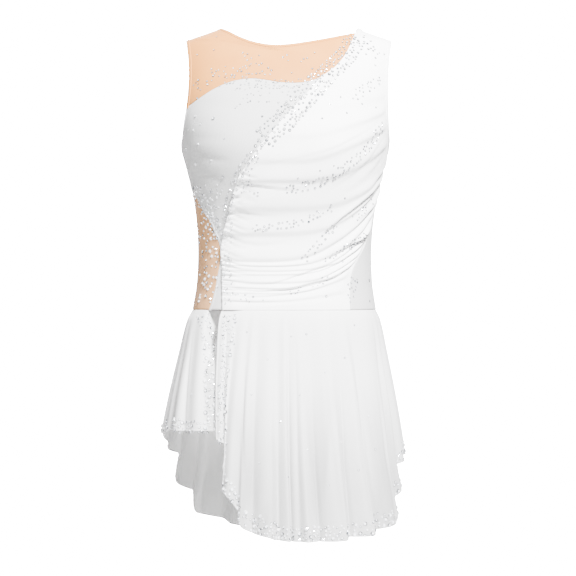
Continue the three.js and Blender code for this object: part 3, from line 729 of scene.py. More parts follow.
# Short puckers at the gathers: height at the gathered edge, length, how far they drop, depth.
PUCKERS = [
    (-199, 16, 3, 0.7), (-206, 26, 6, 1), (-214, 18, 7, 1.1), (-221, 30, 11, 1.2), (-229, 22, 9, 1.1),
    (-236, 34, 8, 1.2), (-243, 17, 6, 1), (-250, 25, 9, 1.2), (-259, 31, 13, 1.3), (-266, 18, 8, 1.1),
    (-273, 36, 13, 1.3), (-281, 21, 7, 1.2), (-288, 28, 12, 1.1), (-297, 38, 15, 1.3), (-304, 19, 8, 1),
    (-312, 33, 12, 1.2), (-319, 22, 7, 1.1), (-326, 40, 9, 1.2), (-334, 24, 5, 1), (-341, 36, 5, 1.1),
    (-348, 27, 3, 1), (-355, 42, 3, 1.2), (-362, 22, 1, 0.9), (-369, 34, 1, 0.9), (-377, 20, 0, 0.6),
]


def seen(points):
    # Where points are in the plane of the shoulder seams, seen from the eye in front.
    near = EYE[1] / (EYE[1] - points[..., 1])
    x = EYE[0] + (points[..., 0] - EYE[0]) * near
    z = EYE[2] + (points[..., 2] - EYE[2]) * near
    return np.stack([x, z], axis=-1)


def beside(flat, line):
    # How far each place is above a line that runs level, how far it is along it, the line's
    # length, and the way down across it.
    line = drawn_through(sorted(line), 12)
    length = length_along(line)
    above = np.full(flat.shape[:-1], 1e6)
    along = np.zeros(flat.shape[:-1])
    down = np.zeros(flat.shape)
    for i in range(len(line) - 1):
        part = line[i + 1] - line[i]
        t = np.clip(((flat - line[i]) @ part) / (part @ part), 0, 1)
        gap = flat - line[i] - t[..., None] * part
        far = np.linalg.norm(gap, axis=-1)
        side = np.sign(part[0] * gap[..., 1] - part[1] * gap[..., 0] + 1e-9)
        closer = far < np.abs(above)
        above = np.where(closer, far * side, above)
        along = np.where(closer, length[i] + t * (length[i + 1] - length[i]), along)
        down = np.where(closer[..., None], np.array([part[1], -part[0]]) / np.linalg.norm(part), down)
    return above, along, length[-1], down


# A lip's shape in millimetres: how softly it turns over, how far below its line the hollow under it
# reaches and how far above the line the hanging cloth does. Then its share of the table's figure,
# and the hollow's and the hang's share of the lip.
LIP_TURN = 0.7
HOLLOW_REACH = 3.6
HANG_REACH = 5
LIP_SHARE = 0.62
HOLLOW_SHARE = 1.3
HANG_SHARE = 0.3


def fold_lip(flat, out, reach, deepest, line):
    # How far the cloth moves out, sideways and up where a fold hangs over the line.
    above, along, length, down = beside(flat, line)
    t = along / length if line[0][0] < line[-1][0] else 1 - along / length
    strength = ease(t, -0.02, deepest) * (1 - ease(t, deepest, 1.02))
    over = 1 / (1 + np.exp(-np.clip(above / LIP_TURN, -30, 30)))
    lip = over * np.exp(-np.maximum(above, 0) / reach)
    hollow = HOLLOW_SHARE * (1 - over) * np.exp(-np.maximum(-above, 0) / HOLLOW_REACH)
    hang = HANG_SHARE * out * over * np.exp(-np.maximum(above, 0) / HANG_REACH)
    moves = [LIP_SHARE * out * (lip - hollow), down[..., 0] * hang, down[..., 1] * hang]
    return np.stack(moves, axis=-1) * strength[..., None]


def pucker(flat, height, length, drop, depth):
    # A trough that starts at the gathered edge, drops as it goes and fades out.
    edge_x = np.interp(height, *zip(*[(z, x) for x, z in GATHERED_EDGE]))
    start = seen(on_figure(angle_at(edge_x, height), np.array(height, float)))
    line = [start, start + (0.5 * length, -0.75 * drop), start + (length, -drop)]
    above, along, whole, _ = beside(flat, [tuple(place) for place in line])
    fade = (1 - along / whole) ** 0.8
    trough = -1.8 * depth * fade * bell(above, 1.2 + 1.2 * along / whole)
    return np.stack([trough, 0 * trough, 0 * trough], axis=-1)


# The rows of the cloth's net are closer in the valleys of the folds. One of them is moved to the
# foot of the armhole, so that the side seam below it and the armhole both stay whole.
in_fold = np.array([
    0, 0.04, 0.08, 0.12, 0.16, 0.2, 0.25, 0.3, 0.36, 0.42, 0.48, 0.54, 0.6, 0.67, 0.74, 0.8, 0.87, 0.94,
])
in_strap = np.linspace(0, 0.9, 10)
drape_s = np.concatenate([fold + (in_fold if fold < 14 else in_strap) for fold in range(18)] + [[18]])
near_corner = np.linspace(10, 12, 401)
corner = np.interp(UNDERARM_Z, curves_of(DRAPE_FOLDS)[1](near_corner), near_corner)
drape_s[np.abs(drape_s - corner).argmin()] = corner
drape_u = np.linspace(0, 1, 141)
drape_points, drape_ways = on_drape(*np.meshgrid(drape_s, drape_u, indexing="ij"))
drape_seen = seen(drape_points)
drape_relief = sum(fold_lip(drape_seen, *lip) for lip in FOLD_LIPS)
drape_relief += sum(pucker(drape_seen, *crease) for crease in PUCKERS)
# The gathered edge stands up in small ripples: how far, at which height most and how far from it
# up and down. The edges that are sewn stay down.
EDGE_LIFT = 3
EDGE_LIFT_Z = -240
EDGE_LIFT_RISE = 42
edge_height = drape_points[..., 2]
rippled = 1 + 0.5 * np.sin(edge_height / 2.9) + 0.4 * np.sin(edge_height / 1.7 + 1)
near_middle = bell(edge_height - EDGE_LIFT_Z, EDGE_LIFT_RISE)
lifted_edge = EDGE_LIFT * rippled * near_middle * (1 - ease(drape_u, 0, 0.05))
sewn_down = ease(1 - drape_u, 0, 0.04) * ease(edge_height, -397, -391)
drape_points += drape_ways * (drape_relief[..., 0] * sewn_down + lifted_edge)[..., None]
drape_points[..., [0, 2]] += drape_relief[..., 1:] * sewn_down[..., None]

# Soft mesh: a fine nylon tulle of about 0.5 mm, drawn at 1.5 mm so that it shows. It is matt and
# lets some light through, so its folds stay pale.
white_mesh, _ = net_finish("white_soft_mesh", "F8F8F8", 0.7, 0.25, 660, 0.3, 0.2, 0.0003)

drape = wear(make_cloth("drape_cloth", [drape_points], 0.8), white_mesh, "drape_panel")
drape_hem = wear(
    turned_edge(
        "drape_hem",
        [edge_run(armhole_left, 110, (-1, 0, 0))],
        5, 0.9, 4.2,
    ),
    white_mesh,
)

# Skirt
# Three pieces of soft chiffon hung from the waist seam, cut as parts of a ring so that they fall
# in folds: a long front, a short piece under its slit edge, and a long back.

# Rings of the skirt, with the same columns as the figure's.
SKIRT_RINGS = [
    (-745, 200, -6, 166, 188),
    (-700, 193, -6, 158, 179),
    (-660, 186, -6.5, 150, 170),
    (-601, 175, -7, 140, 157),
    (-572, 171, -7, 135, 150),
    (-528, 163.5, -6.6, 127, 140),
    (-456, 149, -5.4, 113, 123),
    (-412, 139.4, -4.6, 102.5, 110),
    (-397.5, 132.6, -4, 96, 98),
]
# Folds round the body: angle of the valley at the waist and at the hem, how far the cloth up to
# the next valley stands out and leans on, how far the valley is lifted, the hem's height, and how
# much of the hem's change to the next valley comes at once, where the fold hides it.
FRONT_FOLDS = [
    (-38.8, -30.4, 6, 3, 2, -577, 0),
    (-32.5, -26.5, 4, 2, -2, -588, 0),
    (-27, -26, 8, 2, -2, -644, 0.2),
    (-20, -19, 7, -3, 1, -672, 0.4),
    (-14, -12.5, 11, 5, 0, -704, 0.2),
    (-3, -2, 10, 6, -1, -714, 0.3),
    (3, 3.8, 9, 5, -3, -716, 0.3),
    (14, 15, 15, 9, -1, -716, 0.3),
    (30, 28, 14, 10, -3, -711, 0.6),
    (39, 40, 8, 6, -4, -703, 0.6),
    (61, 57.5, 4, 3, -6, -664, 0.6),
    (68, 66, 7, 3, -6, -618, 0.5),
    (78, 77, 6, 3, -2, -606, 0),
    (90, 90, 7, 4, -1, -606, 0),
]
BACK_FOLDS = [
    (90, 90, 7, 4, -1, -606, 0),
    (101, 102, 7, 5, -7, -608, 0.3),
    (114, 115, 9, 6, -9, -624, 0.4),
    (128, 129, 12, 6, -4, -674, 0.4),
    (142, 142, 11, 4, -2, -708, 0.3),
    (155, 155, 12, 2, -2, -730, 0.2),
    (168, 168, 12, 0, -2, -739, 0),
    (181, 181, 12, 2, -2, -740, 0),
    (194, 194, 11, 4, -2, -733, 0.3),
    (208, 208, 13, 5, -3, -716, 0.6),
    (224, 225.5, 11, 3, -6, -670, 0.6),
    (239, 240.5, 8, 2, -8, -612, 0.4),
    (255, 256, 5, 0, -5, -592, 0),
    (270, 270, 7, 0, 0, -577, 0),
]
SHORT_FOLDS = [
    (-90, -90, 7, 3, 0, -577, 0),
    (-77, -73, 5, 2, -1, -572, 0),
    (-69, -63, 11, 2, -4, -568, 0),
    (-57.5, -48.7, 8, 3, -3, -567, 0),
    (-47.5, -36.5, 0.5, 0, -4.5, -566, 0),
    (-36, -26.5, 0, 0, -4.5, -566, 0),
]
# Finer creases between the folds: angle at the waist and at the hem, where down the cloth each
# begins and is deepest, its half width in degrees, and how far it stands in (-) or out.
SKIRT_CREASES = [
    (-22, -14, 0.35, 0.8, 1.2, -2.4), (-14, -12.4, 0.2, 0.9, 1.3, -2.6), (-6, -4.6, 0.3, 0.75, 1.6, 2.4),
    (-1.5, -1.8, 0.5, 0.9, 0.9, -3), (3, 3.6, 0.12, 0.6, 0.7, -4.4), (6.5, 6.3, 0.1, 0.8, 0.8, -3.8),
    (8.5, 8.8, 0.3, 0.95, 1.1, 2.4), (14.5, 15, 0.4, 0.95, 0.8, -4), (20, 21, 0.3, 0.9, 1.2, -2.8),
    (24, 24, 0.5, 0.9, 0.9, 2.4), (30, 28, 0.2, 0.9, 0.8, -5), (35, 34, 0.2, 0.8, 1.2, -3),
    (38.6, 40, 0.2, 0.9, 0.9, -4.6), (45, 45, 0.2, 0.9, 1.4, 2), (52, 50, 0.3, 0.9, 1.2, -3),
    (61, 57.5, 0.05, 0.7, 2.2, -7), (-33, -27.6, 0.1, 0.6, 0.9, -3.6),
    (224, 225.5, 0.1, 0.7, 1.4, -4), (239, 240.5, 0.1, 0.7, 1.4, -3.6), (-61, -51, 0.2, 0.8, 1.3, -2.6),
    (67, 65.5, 0.15, 0.8, 1.5, -3.4), (82, 82, 0.3, 0.95, 1.8, -1.4), (96, 96, 0.3, 0.9, 1.6, -1.6),
    (108, 109, 0.4, 0.95, 1.4, -2), (121, 122, 0.2, 0.9, 1.5, 1.5), (135, 134, 0.35, 1, 1.2, -2.2),
    (148, 149, 0.3, 0.9, 1.3, -1.6), (161, 162, 0.15, 0.8, 1.2, -2.2), (175, 174, 0.4, 0.95, 1.2, -1.8),
    (187, 188, 0.25, 0.9, 1.1, -2.4), (201, 200, 0.35, 0.95, 1.2, 1.5), (215, 216, 0.3, 1, 1.2, -2),
    (231, 233, 0.3, 0.95, 1.3, -2.2), (247, 248, 0.25, 0.9, 1.8, -1.6), (262, 263, 0.3, 0.9, 1.8, -1.4),
]


def skirt_relief(angle, v):
    # How far the finer creases move the cloth out, at an angle and a share of the way down.
    relief = 0 * angle
    for waist, hem, begins, deepest, half, out in SKIRT_CREASES:
        middle = waist + (hem - waist) * v
        relief += out * bell(angle - middle, half * (0.6 + 0.6 * v)) * ease(v, begins * 0.5, deepest)
    return relief


skirt_rings = curves_of(SKIRT_RINGS)
WAIST_Z = -397.5
# How far below the waist the folds have their full size, and how fast they grow to it.
FULL_FOLD_DROP = 300
FOLD_GROWTH = 0.85
# The short piece is tucked under the slit edge, and hollows inward just behind it at the waist.
TUCK = 2.1
TUCK_HOLLOW = 24
NO_TUCK = 99


def on_skirt(folds, s, v, tucked_from=NO_TUCK):
    # The cloth at a fold's number, with its share of the way to the next, and at a share of the
    # way down. It is tucked under from the given fold on.
    table = np.array(folds, float)
    waist, hem, lift, low = [curve_through(range(len(folds)), table[:, k])(s) for k in (0, 1, 4, 5)]
    row = np.minimum(s.astype(int), len(folds) - 2)
    out, lean, at_once = table[row, 2], table[row, 3], table[row, 6]
    hidden = np.where(lean >= 0, ease(s - row, 0.5, 0.95), ease(s - row, 0.05, 0.5))
    stepped = table[row, 5] + (table[row + 1, 5] - table[row, 5]) * hidden
    low = low * (1 - at_once) + stepped * at_once
    crest = (1 - np.cos(2 * np.pi * (s - row))) / 2
    z = WAIST_Z + (low - WAIST_Z) * v
    angle = waist + (hem - waist) * v
    size = np.minimum(1, (WAIST_Z - z) / FULL_FOLD_DROP) ** FOLD_GROWTH
    tucked = -TUCK * ease(s, tucked_from + 0.6, tucked_from + 1)
    hollow = ease(s, tucked_from + 0.76, tucked_from + 0.92) * (1 - ease(v, 0.16, 0.5))
    tucked -= TUCK_HOLLOW * hollow
    along = unit(on_ring(skirt_rings, angle + 1, z) - on_ring(skirt_rings, angle - 1, z))
    away = np.stack([along[..., 1], -along[..., 0], 0 * z], axis=-1)
    point = on_ring(skirt_rings, angle, z)
    point += away * ((lift + out * crest) * size + tucked + skirt_relief(angle, v))[..., None]
    return point + along * (lean * crest * size)[..., None]


def skirt_net(folds, per_fold, down, tucked_from=NO_TUCK):
    s = np.linspace(0, len(folds) - 1, (len(folds) - 1) * per_fold + 1)
    v = np.linspace(1, 0, down + 1)
    v, s = np.meshgrid(v, s, indexing="ij")
    return on_skirt(folds, s, v, tucked_from)


# Chiffon: a very fine soft mesh that hangs in its own weight. It is matt, with a thread of about
# 0.4 mm drawn at 1.5 mm. Its colour has painted shade, darker towards the hem.
white_chiffon, chiffon_shader = net_finish(
    "white_chiffon_mesh", "DADADA", 0.75, 0.25, 660, 0.4, 0.2, 0.0003
)
on_chiffon = add_node(white_chiffon, "ShaderNodeTexCoord").outputs["Object"]
hem_to_waist = add_node(white_chiffon, "ShaderNodeSeparateXYZ", {0: on_chiffon}).outputs["Z"]
# Painted shade: the chiffon's colour grows darker towards the hem.
above_hem_shade = add_node(
    white_chiffon, "ShaderNodeMapRange",
    {"Value": hem_to_waist, "From Min": -0.68, "From Max": -0.47, "To Min": 0, "To Max": 1},
    interpolation_type="SMOOTHSTEP",
)
painted_hem_shade = add_node(
    white_chiffon, "ShaderNodeMix",
    {0: above_hem_shade.outputs[0], 6: rgb("B4B4B4"), 7: rgb("DADADA")}, data_type="RGBA",
)
# Painted shade: soft upright streaks, about 40 mm apart in the lower part, standing in for the shadows of
# the folds behind.
upright = add_node(white_chiffon, "ShaderNodeMapping", {"Vector": on_chiffon, "Scale": (26, 26, 2.2)})
shadow_streak_noise = add_node(
    white_chiffon, "ShaderNodeTexNoise", {"Vector": upright.outputs[0], "Scale": 1, "Detail": 1}
)
painted_streak = add_node(
    white_chiffon, "ShaderNodeMapRange",
    {"Value": shadow_streak_noise.outputs[0], "From Min": 0.46, "From Max": 0.62, "To Min": 0, "To Max": 0.8},
    interpolation_type="SMOOTHSTEP",
)
# The painted shade streaks show only in the darker lower part.
in_hem_shade = add_node(
    white_chiffon, "ShaderNodeMath", {0: 1.0, 1: above_hem_shade.outputs[0]}, operation="SUBTRACT"
)
painted_streak_low = add_node(
    white_chiffon, "ShaderNodeMath", {0: painted_streak.outputs[0], 1: in_hem_shade.outputs[0]}, operation="MULTIPLY"
)
painted_shade_colour = add_node(
    white_chiffon, "ShaderNodeMix",
    {0: painted_streak_low.outputs[0], 6: painted_hem_shade.outputs[2], 7: rgb("9C9C9C")}, data_type="RGBA",
)
white_chiffon.node_tree.links.new(painted_shade_colour.outputs[2], chiffon_shader.inputs["Base Color"])

skirt_front_rows = skirt_net(FRONT_FOLDS, 28, 96)
skirt_back_rows = skirt_net(BACK_FOLDS, 26, 96)
skirt_short_rows = skirt_net(SHORT_FOLDS, 28, 70, 3)


def skirt_piece(name, rows, node):
    return wear(make_cloth(name, [rows], 0.7), white_chiffon, node)


skirt_front = skirt_piece("skirt_front_cloth", skirt_front_rows, "skirt_front")
skirt_back = skirt_piece("skirt_back_cloth", skirt_back_rows, "skirt_back")
skirt_short = skirt_piece("skirt_side_cloth", skirt_short_rows, "skirt_side")


def rolled_hem(name, rows, slit=False):
    # A narrow rolled hem along a skirt piece's foot and, at the slit, up the edge that hangs free.
    away = unit(np.cross(np.gradient(rows, axis=1), np.gradient(rows, axis=0)) * -1)
    if (away[0, :, 1] * rows[0, :, 1]).mean() < 0:
        away = -away
    runs = [(rows[0], away[0], (0, 0, 1))]
    if slit:
        runs.append((rows[:, 0], away[:, 0], (1, 0, 0)))
    return wear(turned_edge(name, runs, 2.4, 0.75), white_chiffon)


skirt_front_hem = rolled_hem("skirt_front_hem", skirt_front_rows, slit=True)
skirt_back_hem = rolled_hem("skirt_back_hem", skirt_back_rows)
skirt_side_hem = rolled_hem("skirt_side_hem", skirt_short_rows)

# Crystals
# Flat-backed glass stones of 2 to 7.6 mm with a mirror foil behind, glued on by hand: thick along
# the drape's edge and the yoke, along the hems and the inset, and thinly scattered elsewhere.


def stone_glass(name, roughness):
    material = bpy.data.materials.new(name)
    material.use_nodes = True
    shader = material.node_tree.nodes["Principled BSDF"]
    shader.inputs["Roughness"].default_value = roughness
    shader.inputs["IOR"].default_value = 1.55
    shader.inputs["Coat Weight"].default_value = 1
    shader.inputs["Coat Roughness"].default_value = 0.02
    return material, shader


def painted_reflection_cells(material, cells_a_metre):
    # Two grey values that change at random from one small cell of the dress to the next, for the stones'
    # painted reflections and glints.
    place = add_node(material, "ShaderNodeTexCoord").outputs["Object"]
    cells = add_node(material, "ShaderNodeTexVoronoi", {"Vector": place, "Scale": cells_a_metre})
    return add_node(material, "ShaderNodeSeparateColor", {0: cells.outputs["Color"]}).outputs


def painted_highlight_place(material):
    # Where the stones get a painted highlight, set by place: on the wearer's right below the yoke,
    # and on the whole skirt.
    place = add_node(material, "ShaderNodeTexCoord").outputs["Object"]
    axes = add_node(material, "ShaderNodeSeparateXYZ", {0: place}).outputs
    to_right = {"Value": axes["X"], "From Min": -0.045, "From Max": -0.075}
    below_yoke = {"Value": axes["Z"], "From Min": -0.08, "From Max": -0.14}
    below_waist = {"Value": axes["Z"], "From Min": -0.38, "From Max": -0.41}
    right, lower, skirt = [
        add_node(material, "ShaderNodeMapRange", share).outputs[0]
        for share in (to_right, below_yoke, below_waist)
    ]
    side = add_node(material, "ShaderNodeMath", {0: right, 1: lower}, operation="MULTIPLY")
    both = add_node(material, "ShaderNodeMath", {0: side.outputs[0], 1: skirt}, operation="MAXIMUM")
    return both.outputs[0]


# Foiled glass, cut and polished: a stone's facets show the foil as grey metal, with a painted
# reflection, light or dark at random from cell to cell. Where the painted highlight is set, about
# two facets in three get a painted glint, near white and less metallic.
crystal_glass, facets = stone_glass("foiled_crystal_glass", 0.08)
painted_reflection_grey = painted_reflection_cells(crystal_glass, 160)
painted_foil_grey = add_node(
    crystal_glass, "ShaderNodeMix",
    {0: painted_reflection_grey[0], 6: rgb("3C4048"), 7: rgb("A8ACB4")}, data_type="RGBA",
)
painted_glint_share = add_node(
    crystal_glass, "ShaderNodeMapRange", {"Value": painted_reflection_grey[1], "From Min": 0.38, "From Max": 0.5}
)
# Painted glint: near white facets where the painted highlight is set.
painted_glint = add_node(
    crystal_glass, "ShaderNodeMath", {0: painted_highlight_place(crystal_glass), 1: painted_glint_share.outputs[0]},
    operation="MULTIPLY",
).outputs[0]
facet_painted_glint = add_node(
    crystal_glass, "ShaderNodeMix",
    {0: painted_glint, 6: painted_foil_grey.outputs[2], 7: rgb("EEF0F4")}, data_type="RGBA",
)
metallic_under_glint = add_node(crystal_glass, "ShaderNodeMapRange", {"Value": painted_glint, "To Min": 0.85, "To Max": 0.45})
crystal_glass.node_tree.links.new(facet_painted_glint.outputs[2], facets.inputs["Base Color"])
crystal_glass.node_tree.links.new(metallic_under_glint.outputs[0], facets.inputs["Metallic"])

# The flat top of a stone, where the foil shines through the glass: a painted reflection, grey, or
# pale where the painted highlight is set, and white in painted glints at random from cell to cell.
crystal_top, flat_top = stone_glass("crystal_table", 0.18)
painted_table_grey = add_node(
    crystal_top, "ShaderNodeMix",
    {0: painted_highlight_place(crystal_top), 6: rgb("62676F"), 7: rgb("E4E7EC")}, data_type="RGBA",
)
# Painted glints: white tables at random from cell to cell.
painted_table_glint = add_node(
    crystal_top, "ShaderNodeMix",
    {0: painted_reflection_cells(crystal_top, 260)[0], 6: painted_table_grey.outputs[2], 7: rgb("FFFFFF")}, data_type="RGBA",
)
crystal_top.node_tree.links.new(painted_table_glint.outputs[2], flat_top.inputs["Base Color"])

# Groups of stones as seen from in front: how many, the smallest and the largest in millimetres,
# half the width of the band, and the line it follows in the plane of the shoulder seams.
STONE_BANDS = [
    (340, 3, 5.2, 16, [(102, -1), (94, -15), (84, -31), (67, -47), (49, -65)]),
    (420, 2.9, 5, 18, [(49, -65), (32, -82), (17, -99), (1, -117), (-16, -134), (-33, -150)]),
    (190, 2.7, 4.8, 6, [
        (-33, -148), (-51, -173), (-64, -192), (-74, -212), (-81, -233), (-86, -253), (-88, -270),
    ]),
    (70, 2.4, 4, 7, [(-84, -262), (-87, -297), (-88, -318), (-86, -343), (-84, -369), (-84, -390)]),
    (46, 2.4, 4, 8, [
        (-132, -79), (-119, -65), (-102, -53), (-80, -50), (-59, -49), (-36, -50), (-17, -56),
    ]),
    (14, 2.4, 3.6, 11, [(-71, -38), (-52, -35), (-36, -40)]),
    (34, 2.6, 4, 9, [(40, -60), (55, -53), (72, -36), (81, -21)]),
    (10, 2.4, 3.6, 14, [(-10, -40), (20, -44), (45, -40)]),
    (90, 2, 3.2, 7, [(-100, -70), (-80, -64), (-61, -66), (-36, -70), (-10, -70), (19, -69), (40, -62)]),
    (34, 2, 3, 14, [(-84, -94), (-55, -84), (-20, -84), (10, -88)]),
    (170, 3, 5.4, 9, [(-136, -220), (-122, -244), (-109, -268), (-97, -294)]),
    (40, 2.4, 4.2, 15, [(-118, -215), (-100, -240), (-92, -262)]),
    (84, 3.2, 5.6, 12, [(-129, -258), (-117, -297), (-110, -328), (-112, -362), (-120, -388)]),
    (34, 2, 3, 12, [(-50, -170), (-62, -200), (-72, -232)]),
    (30, 2.4, 3.6, 8, [(99, -86), (113, -78), (123, -70), (136, -65)]),
    (70, 2.6, 4.2, 6, [(142, -125), (129, -144), (117, -163), (100, -179), (84, -192)]),
    (76, 2.6, 4, 7, [(84, -192), (67, -204), (45, -214), (19, -220), (-1, -225)]),
    (10, 2.4, 3.4, 8, [(-62, -212), (-36, -233)]),
    (80, 2.6, 4, 5, [(67, -249), (45, -259), (23, -269), (-3, -275), (-32, -278), (-54, -279)]),
    (44, 2.6, 4, 5, [(70, -275), (55, -292), (39, -310), (23, -328)]),
    (50, 2.6, 4, 4, [(115, -288), (99, -299), (81, -311), (55, -327)]),
    (20, 2.4, 3.4, 5, [(126, -236), (112, -252), (98, -266)]),
    (20, 2, 3.2, 5, [(62, -352), (33, -362), (4, -372)]),
    (16, 2, 3.2, 6, [(-86, -378), (-61, -381), (-30, -384)]),
    (18, 2.6, 4.2, 12, [(104, -6), (120, -18), (134, -26)]),
    (26, 2.6, 4.6, 7, [(99, -347), (94, -366), (97, -388)]),
    (90, 3.2, 6.6, 9, [(-122, -404), (-117, -420), (-114, -444)]),
    (190, 3.2, 6.8, 8, [(-114, -444), (-113, -478), (-112, -514), (-112, -550), (-112, -572)]),
    (90, 3.2, 6.6, 9, [(-166, -566), (-141, -567), (-112, -568)]),
    (110, 3.2, 6, 10, [(-84, -404), (-84, -420), (-86, -450)]),
    (260, 3.2, 6.4, 6, [(-86, -450), (-92, -500), (-94, -536), (-94, -572), (-91, -593)]),
]
# Stones that sit alone: diameter and place.
LONE_STONES = [
    (3, -106, -21), (2.6, -130, -28), (3.2, -64, -25), (2.6, -75, -105), (5.5, -107, -120),
    (3.6, -130, -91), (3.4, -146, -165), (4, -133, -117), (3.4, -125, -128), (3.4, -136, -137),
    (3.6, -129, -157), (3.4, -110, -181), (5, -133, -186), (3.2, -91, -149), (4.6, -93, -205),
    (3.6, -36, -117),
    (3.6, -103, -250), (2.8, -102, -2), (3.4, 0, -28), (3, 40, -25), (4.6, -122, -314), (3.4, -102, -279),
    (5, -94, -326), (3.6, -119, -337), (3.4, -126, -347), (3.6, -109, -359), (5, -120, -362),
    (3.4, -107, -372), (3, 109, -99), (3, 129, -104), (3, 62, -99), (3.2, 87, -112), (3, 96, -91),
    (2.8, 78, -89), (3, 51, -120), (3.4, 128, -43), (3.4, 125, -22), (3, 141, -27), (3, 132, -65),
    (3, 84, -236), (2.8, 81, -328), (4, 57, -378), (3.6, -49, -379), (4.4, 119, -355), (3.6, 120, -385),
    (3, 16, -207), (3, 48, -196), (2.6, 68, -189), (3.2, 28, -433), (3, -28, -470), (3.4, -52, -520),
    (3, 18, -521), (3.2, 55, -488), (2.8, 84, -467), (3.4, 118, -552), (3.2, 78, -590), (3, 30, -600),
    (3.4, -10, -560), (3, -40, -620), (3.2, 2, -640), (3, 60, -652), (3.4, 104, -630), (3, 128, -600),
    (2.8, 140, -520), (3, -150, -470), (3.2, -138, -520), (3, -58, -430), (2.8, 6, -436), (3, 98, -420),
]

random = np.random.default_rng(11)
shown_cloth = [
    front_yoke, waist_inset, side_panel, bust_panel, drape, skirt_front, skirt_short, skirt_back,
    back_yoke, back_bodice,
]
worn = []
for piece in shown_cloth:
    worn.append(BVHTree.FromPolygons(
        [tuple(corner.co) for corner in piece.data.vertices],
        [tuple(face.vertices) for face in piece.data.polygons],
    ))


def cloth_at(x, z):
    # The outermost cloth behind a place in the plane of the shoulder seams, seen from the eye.
    eye = Vector(EYE) / 1000
    ray = (Vector((x, 0, z)) / 1000 - eye).normalized()
    hits = [tree.ray_cast(eye, ray) for tree in worn]
    hits = [hit for hit in hits if hit[0] is not None]
    return min(hits, key=lambda hit: hit[3]) if hits else None


stone_places = []
taken = {}
# The places that are taken are kept in cells as wide as this, in metres, and stones keep a tenth
# of their size between them.
CELL = 0.006
STONE_ROOM = 1.1


def set_stone(point, way, size):
    # Keeps a stone if there is room for it among those already set.
    cell = tuple(int(c // CELL) for c in point)
    for i in (-1, 0, 1):
        for j in (-1, 0, 1):
            for k in (-1, 0, 1):
                for other, width in taken.get((cell[0] + i, cell[1] + j, cell[2] + k), ()):
                    if (other - point).length < STONE_ROOM * (size + width) / 2000:
                        return
    taken.setdefault(cell, []).append((point, size))
    stone_places.append((point, way, size))


for size, x, z in LONE_STONES:
    found = cloth_at(x, z)
    if found:
        set_stone(found[0], found[1], size)
for count, small, large, half_width, line in STONE_BANDS:
    fine = drawn_through(line, 16)
    far = length_along(fine)
    for along, off, chance in random.random((count, 3)):
        before, at, after = [
            np.array([np.interp(along * far[-1] + step, far, fine[:, k]) for k in (0, 1)])
            for step in (-0.5, 0, 0.5)
        ]
        run = (after - before) / np.linalg.norm(after - before)
        # More of them are near the band's edges than in its middle.
        aside = np.sin((off - 0.5) * np.pi) * half_width * 0.9
        found = cloth_at(at[0] - run[1] * aside, at[1] + run[0] * aside)
        if found:
            set_stone(found[0], found[1], small + (large - small) * chance**1.6)


def hem_stones(rows, first, last, count, deep, small, large):
    # Stones on the outside of a skirt piece, between two shares of the way round it, most of them
    # close to its hem.
    around = length_along(rows[0])
    for along, up, chance in random.random((count, 3)):
        place = np.interp((first + (last - first) * along) * around[-1], around, range(len(around)))
        i = int(min(place, len(around) - 2))
        t = place - i
        side = rows[:, i] * (1 - t) + rows[:, i + 1] * t
        height = length_along(side)
        level = np.interp(2 + deep * up**1.6, height, range(len(height)))
        j = int(level)
        at = side[j] * (1 - level + j) + side[j + 1] * (level - j)
        way = unit(np.cross(rows[j, i + 1] - rows[j, i], rows[j + 1, i] - rows[j, i]))
        size = small + (large - small) * chance**2.2
        set_stone(Vector((at + way * 0.35) / 1000), Vector(way), size)


hem_stones(skirt_front_rows, 0.02, 0.32, 560, 25, 3.2, 7.6)
hem_stones(skirt_front_rows, 0.32, 0.72, 560, 20, 3.2, 7.6)
hem_stones(skirt_front_rows, 0.72, 1, 220, 17, 3.2, 6.6)
hem_stones(skirt_short_rows, 0, 0.7, 110, 14, 3.2, 6.4)
hem_stones(skirt_back_rows, 0, 0.5, 340, 15, 3, 6)
hem_stones(skirt_back_rows, 0.5, 1, 340, 15, 3, 6)


# A stone's cut, in shares of its width: the foot's width, the radius of the flat top, the girdle's
# height and the whole height. Then how unevenly the stones are tilted and how far each is sunk in
# its glue, in metres.
FOOT = 0.96
TABLE_RADIUS = 0.27
GIRDLE_HIGH = 0.1
STONE_HIGH = 0.3
TILT = 0.07
SUNK = 0.0001


def cut_stones(name, places):
    # One mesh of faceted stones: a low girdle, eight long and eight short facets, and a flat top.
    turn = np.arange(8) * np.pi / 4
    ring = np.stack([np.cos(turn), np.sin(turn), 0 * turn], axis=-1) / 2
    table_turn = turn + np.pi / 8
    table = np.stack([np.cos(table_turn), np.sin(table_turn), 0 * turn], axis=-1) * TABLE_RADIUS
    shape = np.concatenate([ring * FOOT, ring + (0, 0, GIRDLE_HIGH), table + (0, 0, STONE_HIGH)])
    faces = [list(range(7, -1, -1)), list(range(16, 24))]
    for i in range(8):
        k = (i + 1) % 8
        faces += [[i, k, 8 + k, 8 + i], [8 + i, 8 + k, 16 + i], [16 + i, 8 + k, 16 + k]]
    points, all_faces = [], []
    for n, (point, way, size) in enumerate(places):
        way = (way.normalized() + Vector(random.normal(0, TILT, 3))).normalized()
        across = way.orthogonal().normalized()
        up = way.cross(across)
        spin = random.random() * np.pi / 4
        turned = np.array([
            np.cos(spin) * np.array(across) + np.sin(spin) * np.array(up),
            np.cos(spin) * np.array(up) - np.sin(spin) * np.array(across),
            np.array(way),
        ])
        points.append((shape * size / 1000) @ turned + np.array(point) - np.array(way) * SUNK)
        all_faces += [[corner + len(shape) * n for corner in face] for face in faces]
    mesh = bpy.data.meshes.new(name)
    mesh.from_pydata(np.concatenate(points).tolist(), [], all_faces)
    stones = bpy.data.objects.new(name, mesh)
    bpy.context.scene.collection.objects.link(stones)
    return stones


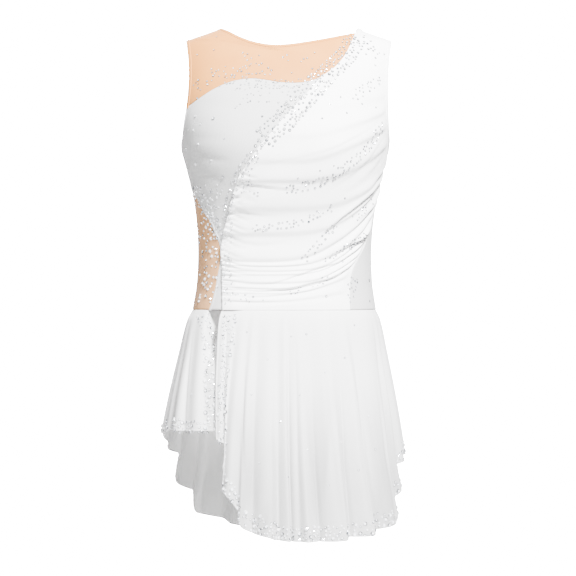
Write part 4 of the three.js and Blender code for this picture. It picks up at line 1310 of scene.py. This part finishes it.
crystals = wear(cut_stones("crystals", stone_places), crystal_glass)
crystals.data.materials.append(crystal_top)
# Each stone has 26 faces, and the second of them is its flat top.
flat_tops = [int(face.index % 26 == 1) for face in crystals.data.polygons]
crystals.data.polygons.foreach_set("material_index", flat_tops)

# Studio
# A plain pale floor below the hanging dress, a white surround, a large soft light from the front
# on the wearer's left and three weaker ones, and the camera straight in front at waist height.
bpy.ops.object.select_all(action="DESELECT")
bpy.ops.mesh.primitive_circle_add(vertices=96, radius=0.8, fill_type="NGON", location=(0, 0, -1.05))
floor = bpy.context.active_object
floor.name = "studio_floor"
bpy.ops.object.transform_apply(location=True)
floor_paint, _ = new_finish("pale_floor_paint", "D8D8D8", 0.8, 0)
floor.data.materials.append(floor_paint)

surround = bpy.data.worlds.new("studio_surround")
surround.use_nodes = True
bpy.context.scene.world = surround
lit = surround.node_tree.nodes["Background"]
lit.inputs["Color"].default_value = (1, 1, 1, 1)
lit.inputs["Strength"].default_value = 0.2
backdrop = add_node(surround, "ShaderNodeBackground", {"Strength": 60})
rays = add_node(surround, "ShaderNodeLightPath")
either = add_node(
    surround, "ShaderNodeMixShader",
    {0: rays.outputs["Is Camera Ray"], 1: lit.outputs[0], 2: backdrop.outputs[0]},
)
surround.node_tree.links.new(either.outputs[0], surround.node_tree.nodes["World Output"].inputs[0])


def soft_light(name, place, aim, size, power):
    # A round soft light at a place, aimed at another, with its width in metres and its watts.
    bpy.ops.object.light_add(type="AREA", location=place)
    lamp = bpy.context.active_object
    lamp.name = name
    lamp.data.shape = "DISK"
    lamp.data.size = size
    lamp.data.energy = power
    lamp.rotation_mode = "QUATERNION"
    lamp.rotation_quaternion = (Vector(aim) - Vector(place)).to_track_quat("-Z", "Y")


soft_light("key_light", (0.9, -1.9, 1.85), (0, 0, -0.35), 0.6, 900)
soft_light("fill_light", (-2.4, -1.6, -0.2), (0, 0, -0.4), 1.2, 65)
soft_light("low_light", (-0.9, -2.8, -0.9), (0, 0, -0.62), 0.8, 55)
soft_light("back_light", (-0.6, 2.6, 0.9), (0, 0, -0.4), 1.6, 200)

camera_data = bpy.data.cameras.new("camera")
camera_data.sensor_width = 36
camera_data.lens = 137.93
camera = bpy.data.objects.new("camera", camera_data)
camera.location = [c / 1000 for c in EYE]
camera.rotation_euler = (math.pi / 2, 0, 0)
bpy.context.scene.collection.objects.link(camera)
bpy.context.scene.camera = camera
